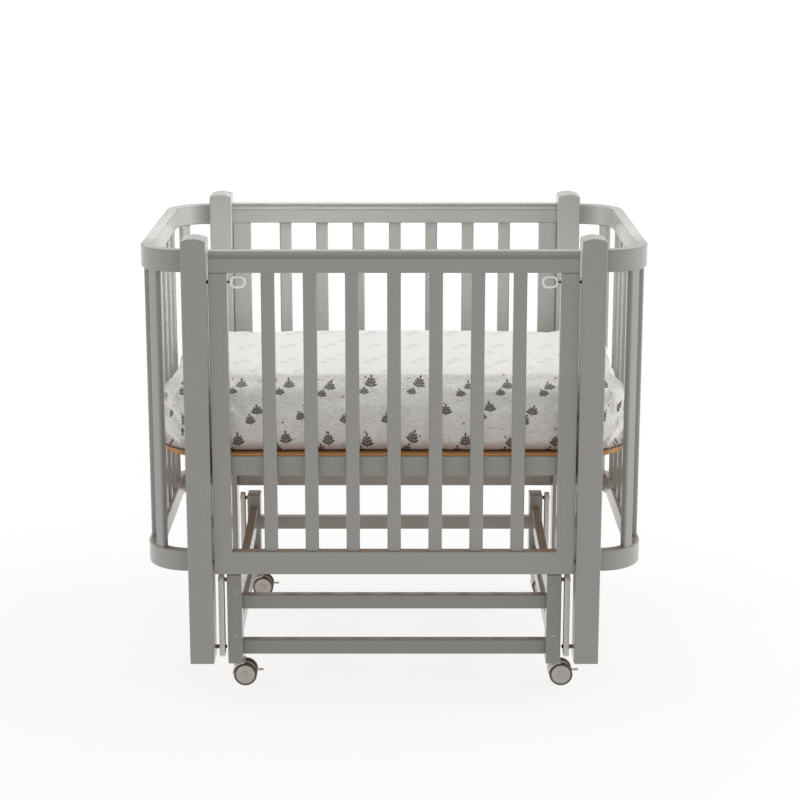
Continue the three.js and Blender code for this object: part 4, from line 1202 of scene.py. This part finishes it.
class CRIB_OT_casters(bpy.types.Operator):
    """Builds the four twin-wheel casters with their brake levers"""
    bl_idname = "crib.casters"
    bl_label = "Casters"

    def execute(self, context):
        for name, *_ in CORNERS:
            wheels, housing, lever = f"caster_wheels_{name}", f"caster_housing_{name}", f"brake_lever_{name}"
            axle = centre_of(wheels)
            stem = Vector((centre_of(f"leg_{name}").x, axle.y, 0.0))
            near, far = wheel_parts(axle, -1), wheel_parts(axle, 1)
            finish_piece(f"caster_tyres_{name}", joined(near[0], far[0]), "tyre_rubber", [wheels])
            finish_piece(f"caster_hubs_{name}", joined(near[1], far[1]), "caster_grey", [wheels])
            bm = caster_housing(stem, axle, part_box(housing)[1].z)
            finish_piece(housing, bm, "caster_pale", [housing])
            finish_piece(lever, brake_lever(axle + LEVER_PIVOT), "caster_pale", [lever])
        return {"FINISHED"}


# Stage

STUDIO_LIGHTS = (  # name, place, aim, size, power
    ("top_light", (0.0, 0.15, 1.95), (0.0, 0.15, 0.5), (2.6, 0.8), 15),
    ("left_light", (-2.9, -0.1, 1.2), (0.0, 0.0, 0.45), (1.8, 2.2), 20),
    ("right_light", (2.9, -0.1, 1.2), (0.0, 0.0, 0.45), (1.8, 2.2), 40),
    ("front_light", (0.0, -4.2, 2.0), (0.0, 0.0, 0.45), (2.6, 1.6), 2),
)
FILL_LIGHTS = (  # the same, and the spread in degrees
    ("rear_fill", (0.0, -0.2, 0.98), (0.0, 0.28, 0.6), (1.1, 0.12), 0.8, 70.0),
    ("left_fill", (0.15, 0.0, 1.15), (-0.46, 0.12, 0.75), (0.4, 0.2), 1.3, 80.0),
    ("right_fill", (-0.15, 0.0, 1.15), (0.46, 0.12, 0.75), (0.4, 0.2), 0.7, 80.0),
)
EYE = (0.0108, -3.5897, 1.4454)
EYE_TILT = 12.395  # degrees that the camera looks down
LENS = 84.48


def softbox(name, place, aim, size, power, spread=180.0):
    """A soft light that lights the scene and isn't seen itself."""
    light = bpy.data.lights.new(name, "AREA")
    light.spread = math.radians(spread)
    light.shape = "RECTANGLE"
    light.size, light.size_y = size
    light.energy = power
    lamp = bpy.data.objects.new(name, light)
    lamp.location = place
    lamp.visible_camera = lamp.visible_glossy = False
    lamp.rotation_euler = (Vector(aim) - Vector(place)).to_track_quat("-Z", "Y").to_euler()
    bpy.context.scene.collection.objects.link(lamp)
    return lamp


def fill_lights():
    """Weak lights inside the crib's opening, which brighten its inner faces and leave the mattress out."""
    spared = bpy.data.collections.new("spared_by_fills")
    spared.objects.link(bpy.data.objects["mattress_cover"])
    spared.collection_objects[0].light_linking.link_state = "EXCLUDE"
    for settings in FILL_LIGHTS:
        softbox(*settings).light_linking.receiver_collection = spared


def floor_material():
    """Pale matt floor that the camera sees as near white, with the crib's soft shadow on it."""
    material, tree, shader = shader_of("floor", 0.9)
    shader.inputs["Base Color"].default_value = (0.35, 0.35, 0.345, 1.0)
    shader.inputs["Emission Color"].default_value = (1.0, 0.99, 0.975, 1.0)
    shader.inputs["Emission Strength"].default_value = 0.79
    shader.inputs["Specular IOR Level"].default_value = 0.1
    path = add(tree, "LightPath")
    seen = math_of(tree, "MAXIMUM", path.outputs["Is Camera Ray"], path.outputs["Is Glossy Ray"])
    pale = add(tree, "BsdfDiffuse", {"Color": (0.18, 0.18, 0.18, 1.0)}).outputs[0]
    away = vector_of(tree, "LENGTH", add(tree, "TexCoord").outputs["Object"])
    strength = mapped(tree, away, 0.8, 3.5, 0.83, 0.97)
    glow = add(tree, "Emission", {"Color": (1.0, 1.0, 1.0, 1.0), "Strength": strength}).outputs[0]
    white = add(tree, "AddShader", {0: pale, 1: glow}).outputs[0]
    mix = add(tree, "MixShader", {0: seen, 1: shader.outputs[0], 2: white})
    tree.links.new(mix.outputs[0], tree.nodes["Material Output"].inputs["Surface"])
    return material


def surroundings():
    """A white world for the camera, dimmer for reflections and dimmest as a light."""
    world = bpy.data.worlds.new("surroundings")
    world.use_nodes = True
    tree = world.node_tree
    path = add(tree, "LightPath")
    seen = mapped(tree, path.outputs["Is Camera Ray"], 0.0, 1.0, 0.39, 1.0)
    background = tree.nodes["Background"]
    background.inputs["Color"].default_value = (1.0, 1.0, 1.0, 1.0)
    strength = plus(tree, seen, times(tree, path.outputs["Is Glossy Ray"], 0.4))
    tree.links.new(strength, background.inputs["Strength"])
    return world


class CRIB_OT_stage(bpy.types.Operator):
    """Sets the floor, the soft lights, the white surroundings and the camera"""
    bl_idname = "crib.stage"
    bl_label = "Stage"

    def execute(self, context):
        scene = bpy.context.scene
        scene.view_settings.view_transform = "Standard"
        bm = bmesh.new()
        bmesh.ops.create_grid(bm, x_segments=1, y_segments=1, size=30.0)
        mesh = bpy.data.meshes.new("floor")
        bm.to_mesh(mesh)
        bm.free()
        mesh.materials.append(floor_material())
        floor = bpy.data.objects.new("floor", mesh)
        scene.collection.objects.link(floor)
        for settings in STUDIO_LIGHTS:
            softbox(*settings)
        fill_lights()
        scene.world = surroundings()
        camera = bpy.data.cameras.new("camera")
        camera.lens, camera.sensor_width = LENS, 36.0
        camera.shift_y = -0.1
        eye = bpy.data.objects.new("camera", camera)
        eye.location = EYE
        eye.rotation_euler = (math.radians(90 - EYE_TILT), 0.0, 0.0)
        scene.collection.objects.link(eye)
        scene.camera = eye
        return {"FINISHED"}


STEPS = (
    CRIB_OT_posts, CRIB_OT_drop_side, CRIB_OT_rear_panel, CRIB_OT_bent_ends, CRIB_OT_deck, CRIB_OT_mattress,
    CRIB_OT_under_frame, CRIB_OT_links, CRIB_OT_release_pins, CRIB_OT_casters, CRIB_OT_stage,
)


class CRIB_PT_panel(bpy.types.Panel):
    bl_label = "Pendulum crib"
    bl_idname = "CRIB_PT_panel"
    bl_space_type = "VIEW_3D"
    bl_region_type = "UI"
    bl_category = "Crib"

    def draw(self, context):
        for step in STEPS:
            self.layout.operator(step.bl_idname)
        for group in (context.scene.crib_sizes, context.scene.crib_colours):
            column = self.layout.column()
            for name in group.__annotations__:
                column.prop(group, name)


CLASSES = (CribSizes, CribColours, *STEPS, CRIB_PT_panel)


def register():
    for cls in CLASSES:
        bpy.utils.register_class(cls)
    bpy.types.Scene.crib_sizes = PointerProperty(type=CribSizes)
    bpy.types.Scene.crib_colours = PointerProperty(type=CribColours)


def unregister():
    del bpy.types.Scene.crib_colours
    del bpy.types.Scene.crib_sizes
    for cls in reversed(CLASSES):
        bpy.utils.unregister_class(cls)


def main():
    register()
    make_materials()
    for step in STEPS:
        family, name = step.bl_idname.split(".")
        getattr(getattr(bpy.ops, family), name)()


if __name__ == "__main__":
    main()
